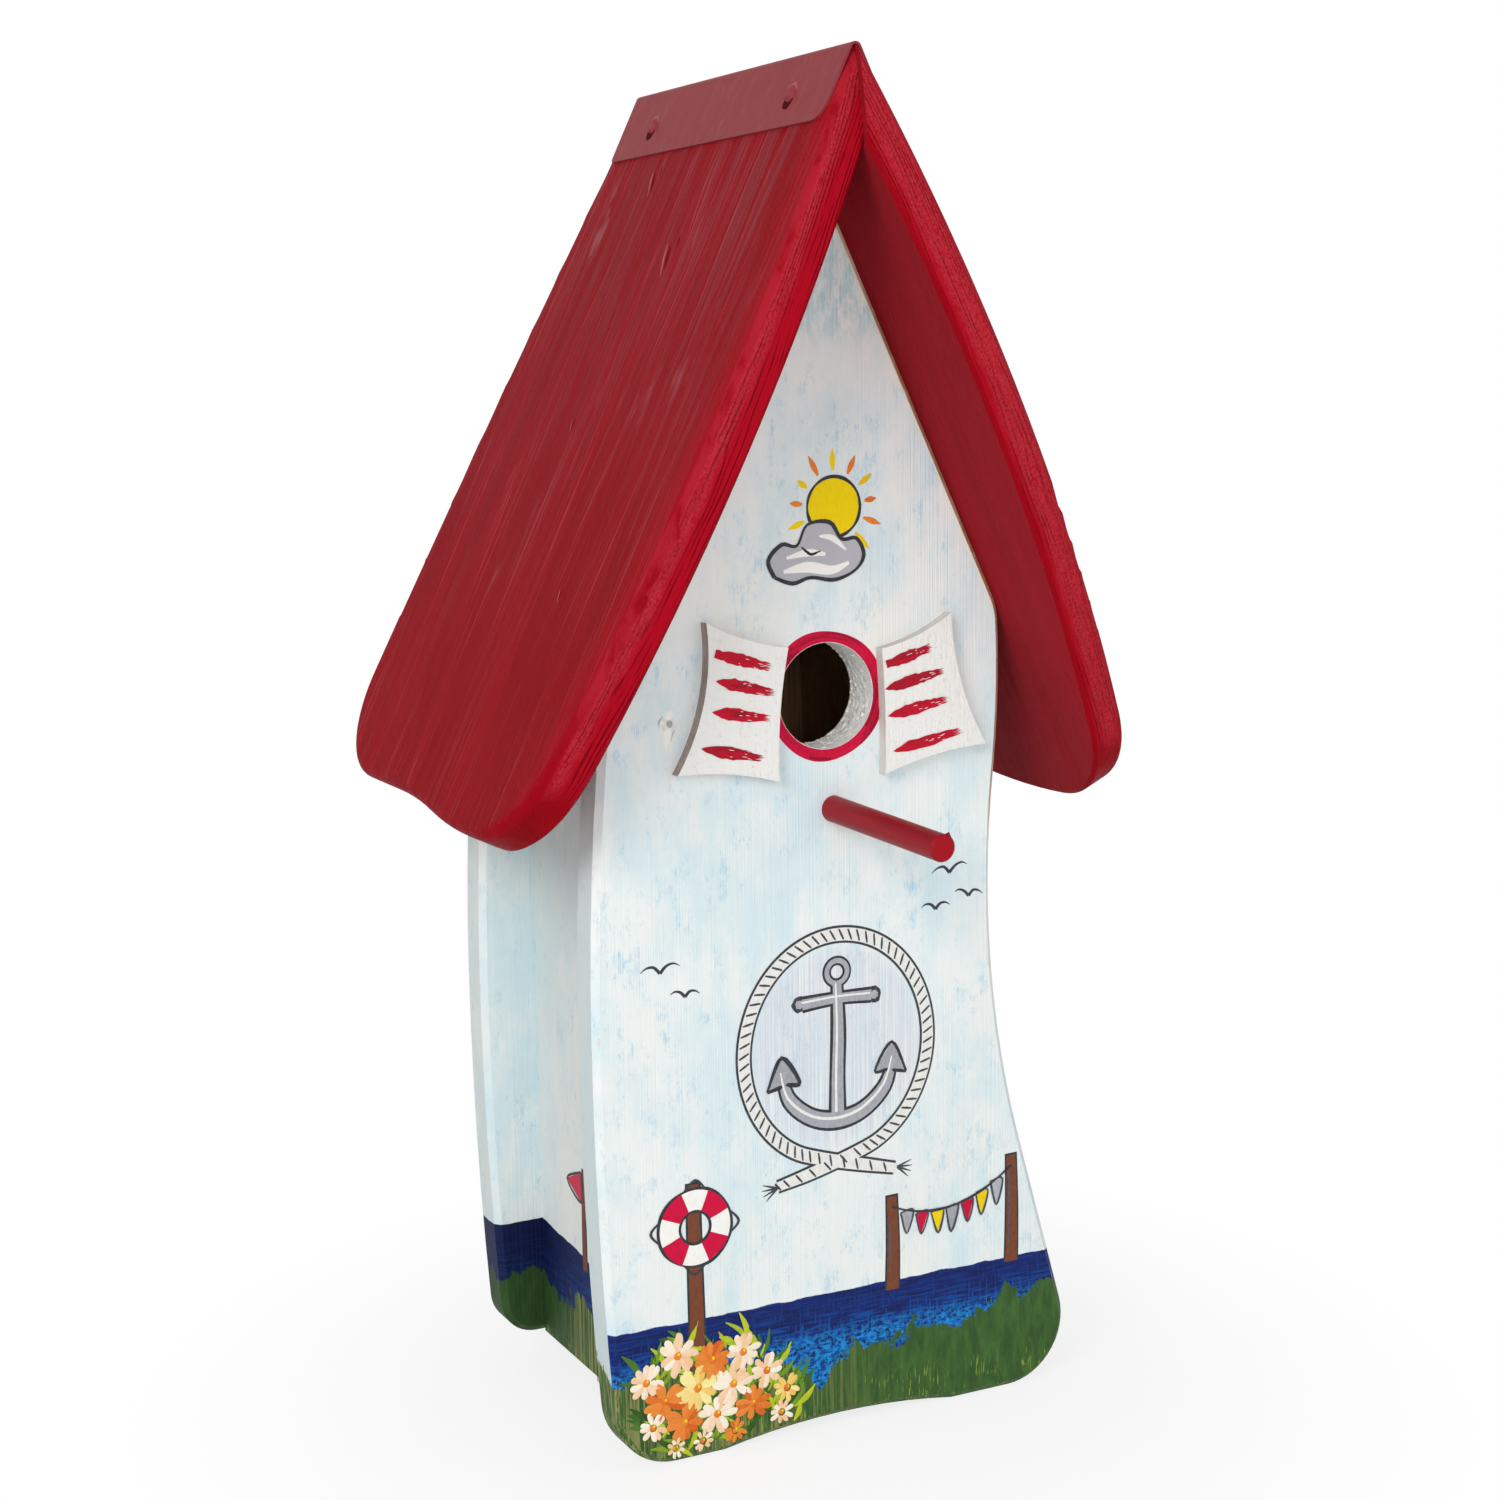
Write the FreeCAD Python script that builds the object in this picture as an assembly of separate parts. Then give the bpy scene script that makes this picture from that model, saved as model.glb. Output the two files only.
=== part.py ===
# Nest box: a tall, narrow bird house with crooked S-shaped end panels, a steep mitred roof
# with a sheet-metal ridge cap, two shutters, a perch, and a floor that swings down.
#
# Millimetres.  The origin is the centre of the entrance hole on the front panel's front face.
# +X is to the right seen from the front, +Y runs from the front to the back, +Z is up.
import FreeCAD, Part
import math
import os

os.makedirs("parts", exist_ok=True)

# ---------------------------------------------------------------- driving dimensions
# Entrance and perch
hole_radius = 16.0            # entrance hole
hole_height = 230.0           # entrance hole's centre above the feet
perch_radius = 4.0
perch_reach = 63.0            # dowel standing out of the front panel
perch_tenon = 12.5            # dowel inside the front panel
perch_x = 2.3                 # dowel's place beside the hole's centre line
perch_drop = 34.3             # dowel's place below the hole's centre
perch_droop = 1.6             # degrees that the dowel dips toward its tip

# End panels: both are sawn to one crooked template, apart from the back one's left foot
house_depth = 105.0           # front face of the front panel to rear face of the back panel
panel_thickness = 14.0
ridge_x = -3.1                # ridge plane beside the hole's centre line
gable_height = 387.0          # point of the gable above the feet
gable_angle = 25.73           # each roof slope, degrees from the vertical
shoulder_left = -70.2         # where the gable meets the left side
shoulder_right = 61.2
belly_left = -77.3            # widest place of the left side
belly_drop = 112.0            # how far it lies below the left shoulder
brow_right = 60.1             # right side: turns from outward to inward here
brow_drop = 51.0              # below the right shoulder
waist_right = 58.3            # right side's narrowest place
waist_drop = 85.0             # below the right shoulder
flare_right = 70.3            # right side: turns nearly straight here
flare_height = 82.3
foot_left = -70.8             # corners at the feet, before rounding
foot_right = 93.6
foot_left_inner = -36.0       # inner ends of the two flat feet
foot_right_inner = 45.0
arch_rise = 3.5               # hollow between the feet
shoulder_round = 20.0
foot_round_left = 20.0
foot_round_right = 20.5
heel_left = -72.0             # back panel's corner beside the left wall, before rounding
heel_inner = -56.5            # where its lower edge meets the foot
heel_foot = -46.5             # outer end of that foot
heel_round = 12.0
panel_arris = 2.0             # every sawn edge is eased off by this much

# Side walls
wall_thickness = 12.0
wall_lift = 11.0              # lower edge of the walls above the feet
left_wall_x = -58.5           # outer face, upright
right_wall_foot_x = 59.1      # middle of the wall at its lower edge
right_wall_lean = 3.5         # degrees that its foot leans outward

# Roof boards, measured down the slope from the sharp outer ridge line
roof_thickness = 12.8
board_length = 245.0          # ridge to the eave's crest
eave_hollow = 4.6             # how far the eave draws back behind its crest
eave_crest_y = 20.0           # place of the crest
eave_hollow_y = 84.0          # where the hollow begins to run straight to the rear
eave_fall = 3.4               # how far it draws back at the front, before the corner is rounded
front_corner = 38.0           # rounding at the eave, front
rear_corner = 30.0            # rounding at the eave, rear
front_overhang_left = 24.5    # in front of the panel, at the ridge
front_overhang_right = 27.0
front_belly = 17.0            # how far the front edge bulges at mid slope
front_overhang_eave = 16.0    # at the eave, before its corner is rounded
rear_overhang_ridge = 12.0
rear_overhang_eave = 41.0
rear_belly = 3.5
ridge_round = 1.2             # rounded ridge line
roof_round = 3.5              # rounding of the boards' upper edges
roof_arris = 1.2              # their lower edges are only eased off

# Sheet-metal ridge cap
cap_sheet = 0.7
cap_leg = 25.0                # width down each slope
cap_front_y = -25.5
cap_rear_y = 117.5
cap_front_corner = 6.0
cap_rear_corner = 1.5

# Shutters: thin plates glued on, every side sawn slightly hollow (x, z and each side's hollow)
shutter_thickness = 4.0
shutter_left = [(-14.6, 15.7), (-18.0, -23.9), (-51.1, -19.5), (-41.2, 24.3)]
shutter_left_hollow = [1.2, 1.4, 4.0, 1.3]
shutter_right = [(17.0, 13.5), (41.2, 23.0), (53.8, -18.0), (18.0, -24.6)]
shutter_right_hollow = [1.4, 2.8, 1.4, 0.6]

# Floor hatch and its turn button
floor_thickness = 12.0
floor_side_gap = 0.6
floor_front_gap = 1.0
floor_rear_gap = 0.5
drain_radius = 2.5
drain_inset = 20.0            # drain holes from the floor's sides
button_width = 9.0
button_thickness = 3.0
button_reach = 20.0           # pivot to the long end
button_tail = 6.0             # pivot to the short end
button_gap = 0.3              # play above and below the button
button_y = 35.0
button_screw_radius = 1.75
button_screw_length = 20.0
button_head_radius = 3.5
button_head_height = 1.9

# Cut nails of rectangular section, driven flush
nail_width = 1.9
nail_thickness = 1.4
panel_nail_length = 40.0
panel_nail_heights = [31.0, 127.0]
hole_nail_drop = 6.6          # the uppermost nails lie this far below the hole's centre
roof_nail_length = 32.0
roof_nail_slope = [92.0, 150.0]    # places down the slope
nail_fit = 0.05               # clearance all round a driven nail, screw or dowel

# Round nails on which the floor hatch turns, and round-headed tacks that hold the ridge cap
pivot_nail_radius = 1.4
pivot_nail_head_radius = 2.8
pivot_nail_head_height = 0.9
pivot_nail_length = 36.0
cap_nail_length = 11.0
cap_nail_head_radius = 2.4
cap_nail_crown_radius = 1.5   # flat top of the head
cap_nail_head_height = 1.1
cap_nail_slope = 14.5
cap_nail_y = [0.5, 94.0]
cap_nail_stagger = 6.0        # right-hand nails stand this far inside the left-hand ones

# ---------------------------------------------------------------- derived values
slope = math.radians(gable_angle)
gable_z = gable_height - hole_height
ridge_z = gable_z + roof_thickness / math.sin(slope)      # sharp outer ridge line
wall_foot_z = wall_lift - hole_height
inner_front_y = panel_thickness
inner_rear_y = house_depth - panel_thickness
panel_middle_ys = [panel_thickness / 2.0, house_depth - panel_thickness / 2.0]
pivot_y = inner_rear_y - floor_rear_gap - floor_thickness / 2.0
pivot_z = wall_foot_z + floor_thickness / 2.0
lean = math.radians(right_wall_lean)
beyond = 600.0                                            # clear past the whole house


def vec(x, y, z):
    return FreeCAD.Vector(x, y, z)


# ---------------------------------------------------------------- shared geometry
def gable_line_z(x):
    """Height of the roof's underside over a place across the house."""
    return gable_z - abs(x - ridge_x) / math.tan(slope)


def left_wall_middle(z):
    return left_wall_x + wall_thickness / 2.0


def right_wall_middle(z):
    return right_wall_foot_x - (z - wall_foot_z) * math.tan(lean)


def right_wall_face(z, side):
    """Outer (side 1) or inner (side -1) face of the leaning wall at a height."""
    return right_wall_middle(z) + side * wall_thickness / 2.0 / math.cos(lean)


def prism(edges, direction):
    return Part.Face(Part.Wire(Part.__sortEdges__(edges))).extrude(direction)


def polygon_edges(points):
    closed = points + points[:1]
    return [Part.makeLine(a, b) for a, b in zip(closed, closed[1:])]


def tangent_arc(start, direction, end):
    """Arc that leaves start in a direction and runs to end, and its direction there."""
    chord = end - start
    along = vec(chord.x, chord.y, chord.z).normalize()
    heading = direction.normalize()
    straight = heading.dot(along)
    bulge = (heading - along * straight) * (chord.Length / 2.0 / (1.0 + straight))
    arc = Part.Arc(start, start + chord * 0.5 + bulge, end)
    return arc.toShape(), along * (2.0 * straight) - heading


def tangent_arcs(start, direction, stops):
    """Smooth run of arcs from start through the stops."""
    arcs = []
    for stop in stops:
        arc, direction = tangent_arc(start, direction, stop)
        arcs.append(arc)
        start = stop
    return arcs


def hollow_side(a, b, hollow, centre):
    """Arc from a to b whose middle draws in toward the centre."""
    middle = (a + b) * 0.5
    across = (b - a).cross(vec(0, 1, 0)).normalize()
    if across.dot(centre - middle) < 0:
        across = across * -1
    return Part.Arc(a, middle + across * hollow, b).toShape()


def edges_through(shape, points, direction):
    """Edges that run along a direction and pass through one of the points."""
    found = []
    for edge in shape.Edges:
        if len(edge.Vertexes) != 2:
            continue
        run = edge.Vertexes[1].Point - edge.Vertexes[0].Point
        if run.Length < 1e-6 or run.cross(direction).Length > 1e-4 * run.Length:
            continue
        for point in points:
            if (point - edge.Vertexes[0].Point).cross(direction).Length < 0.01:
                found.append(edge)
                break
    return found


def rim_edges(shape, axis, offset):
    """Every edge that lies in the plane at an offset along an axis of the shape."""
    rim = []
    for edge in shape.Edges:
        low = getattr(edge.BoundBox, axis + "Min")
        high = getattr(edge.BoundBox, axis + "Max")
        if abs(low - offset) < 1e-3 and abs(high - offset) < 1e-3:
            rim.append(edge)
    return rim


def slope_placement():
    """Moves a board drawn flat (X down the slope, Z into the house) onto the left slope."""
    down = vec(-math.sin(slope), 0, -math.cos(slope))
    inward = vec(math.cos(slope), 0, -math.sin(slope))
    turn = FreeCAD.Rotation(down, vec(0, 1, 0), inward, "XYZ")
    return FreeCAD.Placement(vec(ridge_x, 0, ridge_z), turn)


def mirrored(shape):
    """The other slope's copy, mirrored in the ridge plane."""
    return shape.mirror(vec(ridge_x, 0, 0), vec(1, 0, 0))


def slope_skin(offset, leg):
    """Cross-section of the roof's outer skin over both slopes, raised by an offset."""
    across = vec(math.sin(slope), 0, -math.cos(slope))
    outward = vec(math.cos(slope), 0, math.sin(slope))
    ridge = vec(ridge_x, 0, ridge_z)
    bend = ridge_round + offset
    bend_centre = ridge - vec(0, 0, ridge_round / math.sin(slope))
    right_tangent = bend_centre + outward * bend
    right_end = ridge + across * leg + outward * offset
    points = [right_end, right_tangent, bend_centre + vec(0, 0, bend)]
    flip = [vec(2 * ridge_x - p.x, p.y, p.z) for p in points[:2]]
    right, top, left = points[:2], points[2], flip
    return right, top, left


# ---------------------------------------------------------------- fasteners
def turned(profile, place, direction):
    """Body turned from a profile of (radius, distance), laid along a direction."""
    points = [vec(radius, 0, along) for radius, along in profile]
    face = Part.Face(Part.Wire(polygon_edges(points)))
    body = face.revolve(vec(0, 0, 0), vec(0, 0, 1), 360)
    body.Placement = FreeCAD.Placement(place, FreeCAD.Rotation(vec(0, 0, 1), direction))
    return body


def laid(body, place, direction):
    """A body drawn along Z from the origin, laid along a direction from its place."""
    body.Placement = FreeCAD.Placement(place, FreeCAD.Rotation(vec(0, 0, 1), direction))
    return body


def spike(start, length, tip, grow):
    """Rectangular shank along Z that ends in a chisel point, grown sideways by a clearance."""
    half = nail_width / 2.0 + grow
    back = -nail_thickness / 2.0 - grow
    side = [vec(-half, back, start), vec(half, back, start), vec(half, back, length - tip),
            vec(0, back, length), vec(-half, back, length - tip)]
    return prism(polygon_edges(side), vec(0, -2 * back, 0))


def cut_nail(place, direction, length):
    return laid(spike(0, length, 2 * nail_width, 0), place, direction)


def cut_nails(places, length):
    return Part.makeCompound([cut_nail(p, d, length) for p, d in places])


def cut_nail_hole(place, direction, length):
    """Room for such a nail, open past its head."""
    return laid(spike(-1, length + nail_fit, 2 * nail_width, nail_fit), place, direction)


def pivot_nail(place, direction):
    """Round nail with a flat head flush at its place and a cropped end."""
    step = pivot_nail_head_height
    profile = [(0, 0), (pivot_nail_head_radius, 0), (pivot_nail_head_radius, step),
               (pivot_nail_radius, step), (pivot_nail_radius, pivot_nail_length),
               (0, pivot_nail_length)]
    return turned(profile, place, direction)


def pivot_nail_hole(place, direction):
    """Running fit for the shank; the head seats on the step."""
    wide = pivot_nail_head_radius + nail_fit
    snug = pivot_nail_radius + nail_fit
    depth = pivot_nail_length + nail_fit
    profile = [(0, -1), (wide, -1), (wide, pivot_nail_head_height),
               (snug, pivot_nail_head_height), (snug, depth), (0, depth)]
    return turned(profile, place, direction)


def cap_tack(place, direction):
    """Tack with a round head, sloping at its rim, that stands on the ridge cap."""
    rise = cap_nail_head_height
    profile = [vec(0, 0, -rise), vec(cap_nail_crown_radius, 0, -rise),
               vec(cap_nail_head_radius, 0, 0), vec(0, 0, 0)]
    head = Part.Face(Part.Wire(polygon_edges(profile))).revolve(vec(0, 0, 0), vec(0, 0, 1), 360)
    shank = spike(-rise / 2.0, cap_nail_length, 2 * nail_width, 0)
    return laid(head.fuse(shank), place, direction)


def panel_nails(face_y, direction):
    """Places of the nails through an end panel into the ends of both side walls."""
    places = []
    for z in [height - hole_height for height in panel_nail_heights] + [-hole_nail_drop]:
        for middle in (left_wall_middle, right_wall_middle):
            places.append((vec(middle(z), face_y, z), direction))
    return places


def roof_nails():
    """Places of the nails through the left board into the edges of both end panels."""
    onto_slope = slope_placement()
    inward = onto_slope.Rotation.multVec(vec(0, 0, 1))
    return [(onto_slope.multVec(vec(down, y, 0)), inward)
            for down in roof_nail_slope for y in panel_middle_ys]


def cap_nails(inset):
    onto_slope = slope_placement()
    inward = onto_slope.Rotation.multVec(vec(0, 0, 1))
    first, last = cap_nail_y
    return [(onto_slope.multVec(vec(cap_nail_slope, y, -cap_sheet)), inward)
            for y in (first + inset, last - inset)]


def mirrored_places(places):
    return [(vec(2 * ridge_x - p.x, p.y, p.z), vec(-d.x, d.y, d.z)) for p, d in places]


def pivot_nails():
    left = (vec(left_wall_x, pivot_y, pivot_z), vec(1, 0, 0))
    right = (vec(right_wall_face(pivot_z, 1), pivot_y, pivot_z), vec(-1, 0, 0))
    return [left, right]


front_nails = panel_nails(0, vec(0, 1, 0))
back_nails = panel_nails(house_depth, vec(0, -1, 0))
left_roof_nails = roof_nails()
right_roof_nails = mirrored_places(left_roof_nails)
left_cap_nails = cap_nails(0)
right_cap_nails = mirrored_places(cap_nails(cap_nail_stagger))

panel_pilots = [cut_nail_hole(p, d, panel_nail_length) for p, d in front_nails + back_nails]
roof_pilots = [cut_nail_hole(p, d, roof_nail_length)
               for p, d in left_roof_nails + right_roof_nails]
cap_pilots = [cut_nail_hole(p, d, cap_nail_length) for p, d in left_cap_nails + right_cap_nails]
pivot_pilots = [pivot_nail_hole(p, d) for p, d in pivot_nails()]


# ---------------------------------------------------------------- end panels
def end_panel(front_y, short_heel):
    """Crooked panel: straight gable, S-shaped sides, two flat feet with an arch between.

    The left side runs down to a rounded foot or, with a short heel, only to the lower
    edge of the side wall, and the foot stands in from there.
    """
    def at(x, height):
        return vec(x, front_y, height - hole_height)

    def below(top, x, drop):
        return vec(x, front_y, top.z - drop)

    gable = at(ridge_x, gable_height)
    left_top = vec(shoulder_left, front_y, gable_line_z(shoulder_left))
    right_top = vec(shoulder_right, front_y, gable_line_z(shoulder_right))
    left_foot = at(foot_left, 0)
    right_foot = at(foot_right, 0)
    arch_left = at(foot_left_inner, 0)
    arch_right = at(foot_right_inner, 0)
    arch_top = at((foot_left_inner + foot_right_inner) / 2.0, arch_rise)
    belly = below(left_top, belly_left, belly_drop)
    brow = below(right_top, brow_right, brow_drop)
    waist = below(right_top, waist_right, waist_drop)
    flare = at(flare_right, flare_height)
    up = vec(0, 0, 1)
    down = vec(0, 0, -1)
    left_corner = at(heel_left, wall_lift) if short_heel else left_foot
    edges = [
        Part.makeLine(left_top, gable),
        Part.makeLine(gable, right_top),
        Part.makeLine(right_foot, arch_right),
        Part.Arc(arch_right, arch_top, arch_left).toShape(),
    ]
    if short_heel:
        inner_foot = at(heel_foot, 0)
        inner_corner = at(heel_inner, wall_lift)
        edges += [Part.makeLine(arch_left, inner_foot),
                  Part.makeLine(inner_foot, inner_corner),
                  Part.makeLine(inner_corner, left_corner)]
    else:
        edges.append(Part.makeLine(arch_left, left_foot))
    edges += tangent_arcs(waist, up, [brow, right_top])
    edges += tangent_arcs(waist, down, [flare, right_foot])
    edges += tangent_arcs(belly, up, [left_top])
    edges += tangent_arcs(belly, down, [left_corner])
    along = vec(0, 1, 0)
    panel = prism(edges, along * panel_thickness)
    panel = panel.makeFillet(shoulder_round, edges_through(panel, [left_top, right_top], along))
    left_round = heel_round if short_heel else foot_round_left
    panel = panel.makeFillet(left_round, edges_through(panel, [left_corner], along))
    panel = panel.makeFillet(foot_round_right, edges_through(panel, [right_foot], along))
    arris = min(panel_arris, panel_thickness / 4.0)
    rims = rim_edges(panel, "Y", front_y) + rim_edges(panel, "Y", front_y + panel_thickness)
    return panel.makeChamfer(arris, rims)


def perch_place():
    """Foot of the perch on the front face, and the direction in which it stands out."""
    dip = math.radians(perch_droop)
    return vec(perch_x, 0, -perch_drop), vec(0, -math.cos(dip), -math.sin(dip))


def front_panel():
    panel = end_panel(0, short_heel=False)
    hole = Part.makeCylinder(hole_radius, panel_thickness, vec(0, 0, 0), vec(0, 1, 0))
    foot, out = perch_place()
    perch_hole = Part.makeCylinder(perch_radius + nail_fit, beyond, foot - out * perch_tenon, out)
    return panel.cut([hole, perch_hole] + panel_pilots + roof_pilots)


def back_panel():
    return end_panel(inner_rear_y, short_heel=True).cut(panel_pilots + roof_pilots)


# ---------------------------------------------------------------- side walls
def below_roof():
    """Everything under the two slopes, as long as the room between the panels."""
    far = beyond * math.tan(slope)
    points = [vec(ridge_x, inner_front_y, gable_z),
              vec(ridge_x + far, inner_front_y, gable_z - beyond),
              vec(ridge_x - far, inner_front_y, gable_z - beyond)]
    return prism(polygon_edges(points), vec(0, inner_rear_y - inner_front_y, 0))


def left_side_wall():
    height = gable_z - wall_foot_z
    board = Part.makeBox(wall_thickness, inner_rear_y - inner_front_y, height,
                         vec(left_wall_x, inner_front_y, wall_foot_z))
    pivot = vec(left_wall_middle(wall_foot_z), button_y, wall_foot_z - button_gap)
    screw_room = Part.makeCylinder(button_screw_radius + nail_fit, button_screw_length,
                                   pivot, vec(0, 0, 1))
    return board.common(below_roof()).cut(panel_pilots + pivot_pilots + [screw_room])


def right_side_wall():
    top = gable_z
    points = [vec(right_wall_face(wall_foot_z, -1), inner_front_y, wall_foot_z),
              vec(right_wall_face(wall_foot_z, 1), inner_front_y, wall_foot_z),
              vec(right_wall_face(top, 1), inner_front_y, top),
              vec(right_wall_face(top, -1), inner_front_y, top)]
    board = prism(polygon_edges(points), vec(0, inner_rear_y - inner_front_y, 0))
    return board.common(below_roof()).cut(panel_pilots + pivot_pilots)


# ---------------------------------------------------------------- roof
def roof_board(ridge_overhang):
    """Board drawn flat: X down the slope, Y front to back, Z from its top face inward."""
    rear_length = board_length - eave_hollow
    ridge_front = vec(0, -ridge_overhang, 0)
    eave_front = vec(board_length - eave_fall, -front_overhang_eave, 0)
    front_middle = (ridge_front + eave_front) * 0.5 - vec(0, front_belly, 0)
    ridge_rear = vec(0, house_depth + rear_overhang_ridge, 0)
    eave_rear = vec(rear_length, house_depth + rear_overhang_eave, 0)
    rear_middle = (ridge_rear + eave_rear) * 0.5 + vec(0, rear_belly, 0)
    hollow = vec(rear_length, eave_hollow_y, 0)
    turn = (vec(board_length, eave_crest_y, 0) + hollow) * 0.5
    edges = [
        Part.Arc(ridge_front, front_middle, eave_front).toShape(),
        Part.makeLine(hollow, eave_rear),
        Part.Arc(eave_rear, rear_middle, ridge_rear).toShape(),
        Part.makeLine(ridge_rear, ridge_front),
    ]
    edges += tangent_arcs(hollow, vec(0, -1, 0), [turn, eave_front])
    through = vec(0, 0, 1)
    board = prism(edges, through * roof_thickness)
    board = board.makeFillet(front_corner, edges_through(board, [eave_front], through))
    board = board.makeFillet(rear_corner, edges_through(board, [eave_rear], through))
    upper = [edge for edge in rim_edges(board, "Z", 0) if edge.BoundBox.XMax > 1.0]
    board = board.makeFillet(min(roof_round, roof_thickness / 2.0), upper)
    lower = rim_edges(board, "Z", roof_thickness)
    lower = [edge for edge in lower if edge.BoundBox.XMax > 1.0]
    return board.makeChamfer(min(roof_arris, roof_thickness / 4.0), lower)


def left_of_ridge():
    """Everything on the left of the ridge plane under the rounded outer skin."""
    right, top, left = slope_skin(0, beyond)
    left_end, left_tangent = left
    foot = vec(ridge_x, 0, left_end.z)
    shoulder = Part.Arc(left_tangent, bend_point(0), top).toShape()
    edges = [Part.makeLine(left_end, left_tangent), shoulder,
             Part.makeLine(top, foot), Part.makeLine(foot, left_end)]
    block = prism(edges, vec(0, 2 * beyond, 0))
    block.translate(vec(0, -beyond, 0))
    return block


def bend_point(offset):
    """A point half way round the left half of the ridge's bend."""
    bend = ridge_round + offset
    turn = (math.pi / 2 - slope) / 2.0
    centre_z = ridge_z - ridge_round / math.sin(slope)
    return vec(ridge_x - bend * math.sin(turn), 0, centre_z + bend * math.cos(turn))


def left_roof_board():
    board = roof_board(front_overhang_left)
    board.Placement = slope_placement()
    return board.common(left_of_ridge()).cut(roof_pilots + cap_pilots)


def right_roof_board():
    board = roof_board(front_overhang_right)
    board.Placement = slope_placement()
    return mirrored(board.common(left_of_ridge())).cut(roof_pilots + cap_pilots)


def ridge_cap():
    """Folded sheet over the ridge, with its four lower corners rounded off."""
    lines = []
    for offset in (0, cap_sheet):
        (right_end, right_tangent), top, (left_end, left_tangent) = slope_skin(offset, cap_leg)
        lines += [Part.makeLine(left_end, left_tangent),
                  Part.Arc(left_tangent, top, right_tangent).toShape(),
                  Part.makeLine(right_tangent, right_end)]
    ends = [slope_skin(offset, cap_leg) for offset in (0, cap_sheet)]
    for side in (0, 2):
        lines.append(Part.makeLine(ends[0][side][0], ends[1][side][0]))
    cap = prism(lines, vec(0, cap_rear_y - cap_front_y, 0))
    cap.translate(vec(0, cap_front_y, 0))
    for y, radius in ((cap_front_y, cap_front_corner), (cap_rear_y, cap_rear_corner)):
        corners = []
        for side, sign in ((0, 1), (2, -1)):
            outward = vec(sign * math.cos(slope), 0, math.sin(slope))
            corners += edges_through(cap, [ends[0][side][0] + vec(0, y, 0)], outward)
        cap = cap.makeFillet(radius, corners)
    return cap.cut(cap_pilots)


# ---------------------------------------------------------------- shutters and perch
def shutter(corners, hollows):
    """Plate on the front face whose four sides are arcs drawn in toward its middle."""
    points = [vec(x, -shutter_thickness, z) for x, z in corners]
    centre = (points[0] + points[1] + points[2] + points[3]) * 0.25
    following = points[1:] + points[:1]
    sides = [hollow_side(a, b, h, centre) for a, b, h in zip(points, following, hollows)]
    return prism(sides, vec(0, shutter_thickness, 0))


def perch_dowel():
    foot, out = perch_place()
    start = foot - out * perch_tenon
    length = perch_tenon + perch_reach
    rounding = perch_radius / 8.0
    profile = [(0, 0), (perch_radius, 0), (perch_radius, length - rounding),
               (perch_radius - rounding, length), (0, length)]
    return turned(profile, start, out)


# ---------------------------------------------------------------- floor hatch
def floor_board():
    """Board between the walls; its rear edge is rounded about the pivot so that it can turn."""
    half = floor_thickness / 2.0
    front = inner_front_y + floor_front_gap
    left = left_wall_x + wall_thickness + floor_side_gap
    far = right_wall_foot_x + wall_thickness
    profile = [
        Part.makeLine(vec(left, pivot_y, pivot_z + half), vec(left, front, pivot_z + half)),
        Part.makeLine(vec(left, front, pivot_z + half), vec(left, front, pivot_z - half)),
        Part.makeLine(vec(left, front, pivot_z - half), vec(left, pivot_y, pivot_z - half)),
        Part.Arc(vec(left, pivot_y, pivot_z - half), vec(left, pivot_y + half, pivot_z),
                 vec(left, pivot_y, pivot_z + half)).toShape(),
    ]
    board = prism(profile, vec(far - left, 0, 0))
    low = pivot_z - half - 1
    high = pivot_z + half + 1
    right_low = right_wall_face(low, -1) - floor_side_gap
    right_high = right_wall_face(high, -1) - floor_side_gap
    trim = prism(polygon_edges([vec(right_low, 0, low), vec(far + 1, 0, low),
                                vec(far + 1, 0, high), vec(right_high, 0, high)]),
                 vec(0, house_depth, 0))
    drains = [Part.makeCylinder(drain_radius, high - low, vec(x, (front + pivot_y) / 2.0, low))
              for x in (left + drain_inset, right_low - drain_inset)]
    return board.cut([trim] + drains + pivot_pilots)


def button_pivot():
    """Point on the turn button's axis, level with the button's upper face."""
    return vec(left_wall_middle(wall_foot_z), button_y, wall_foot_z - button_gap)


def turn_button():
    """Flat bar with round ends, parked along the wall and turned to reach under the floor."""
    top = button_pivot()
    half = button_width / 2.0
    x = top.x
    z = top.z
    rear = top.y + button_reach - half
    front = top.y - button_tail + half
    edges = [
        Part.makeLine(vec(x - half, front, z), vec(x - half, rear, z)),
        Part.Arc(vec(x - half, rear, z), vec(x, rear + half, z), vec(x + half, rear, z)).toShape(),
        Part.makeLine(vec(x + half, rear, z), vec(x + half, front, z)),
        Part.Arc(vec(x + half, front, z), vec(x, front - half, z), vec(x - half, front, z)).toShape(),
    ]
    bar = prism(edges, vec(0, 0, -button_thickness))
    hole = Part.makeCylinder(button_screw_radius + nail_fit, button_thickness, top, vec(0, 0, -1))
    return bar.cut(hole)


def turn_button_screw():
    """Slotted screw: head below the button, shank up into the wall."""
    seat = button_pivot() - vec(0, 0, button_thickness + button_gap)
    shank = button_screw_length - button_thickness
    profile = [(0, -button_head_height), (button_head_radius, -button_head_height),
               (button_head_radius, 0), (button_screw_radius, 0),
               (button_screw_radius, shank), (0, shank)]
    screw = turned(profile, seat, vec(0, 0, 1))
    slot = Part.makeBox(button_head_radius * 2, 0.8, 0.8)
    slot.translate(seat - vec(button_head_radius, 0.4, button_head_height))
    return screw.cut(slot)


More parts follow.
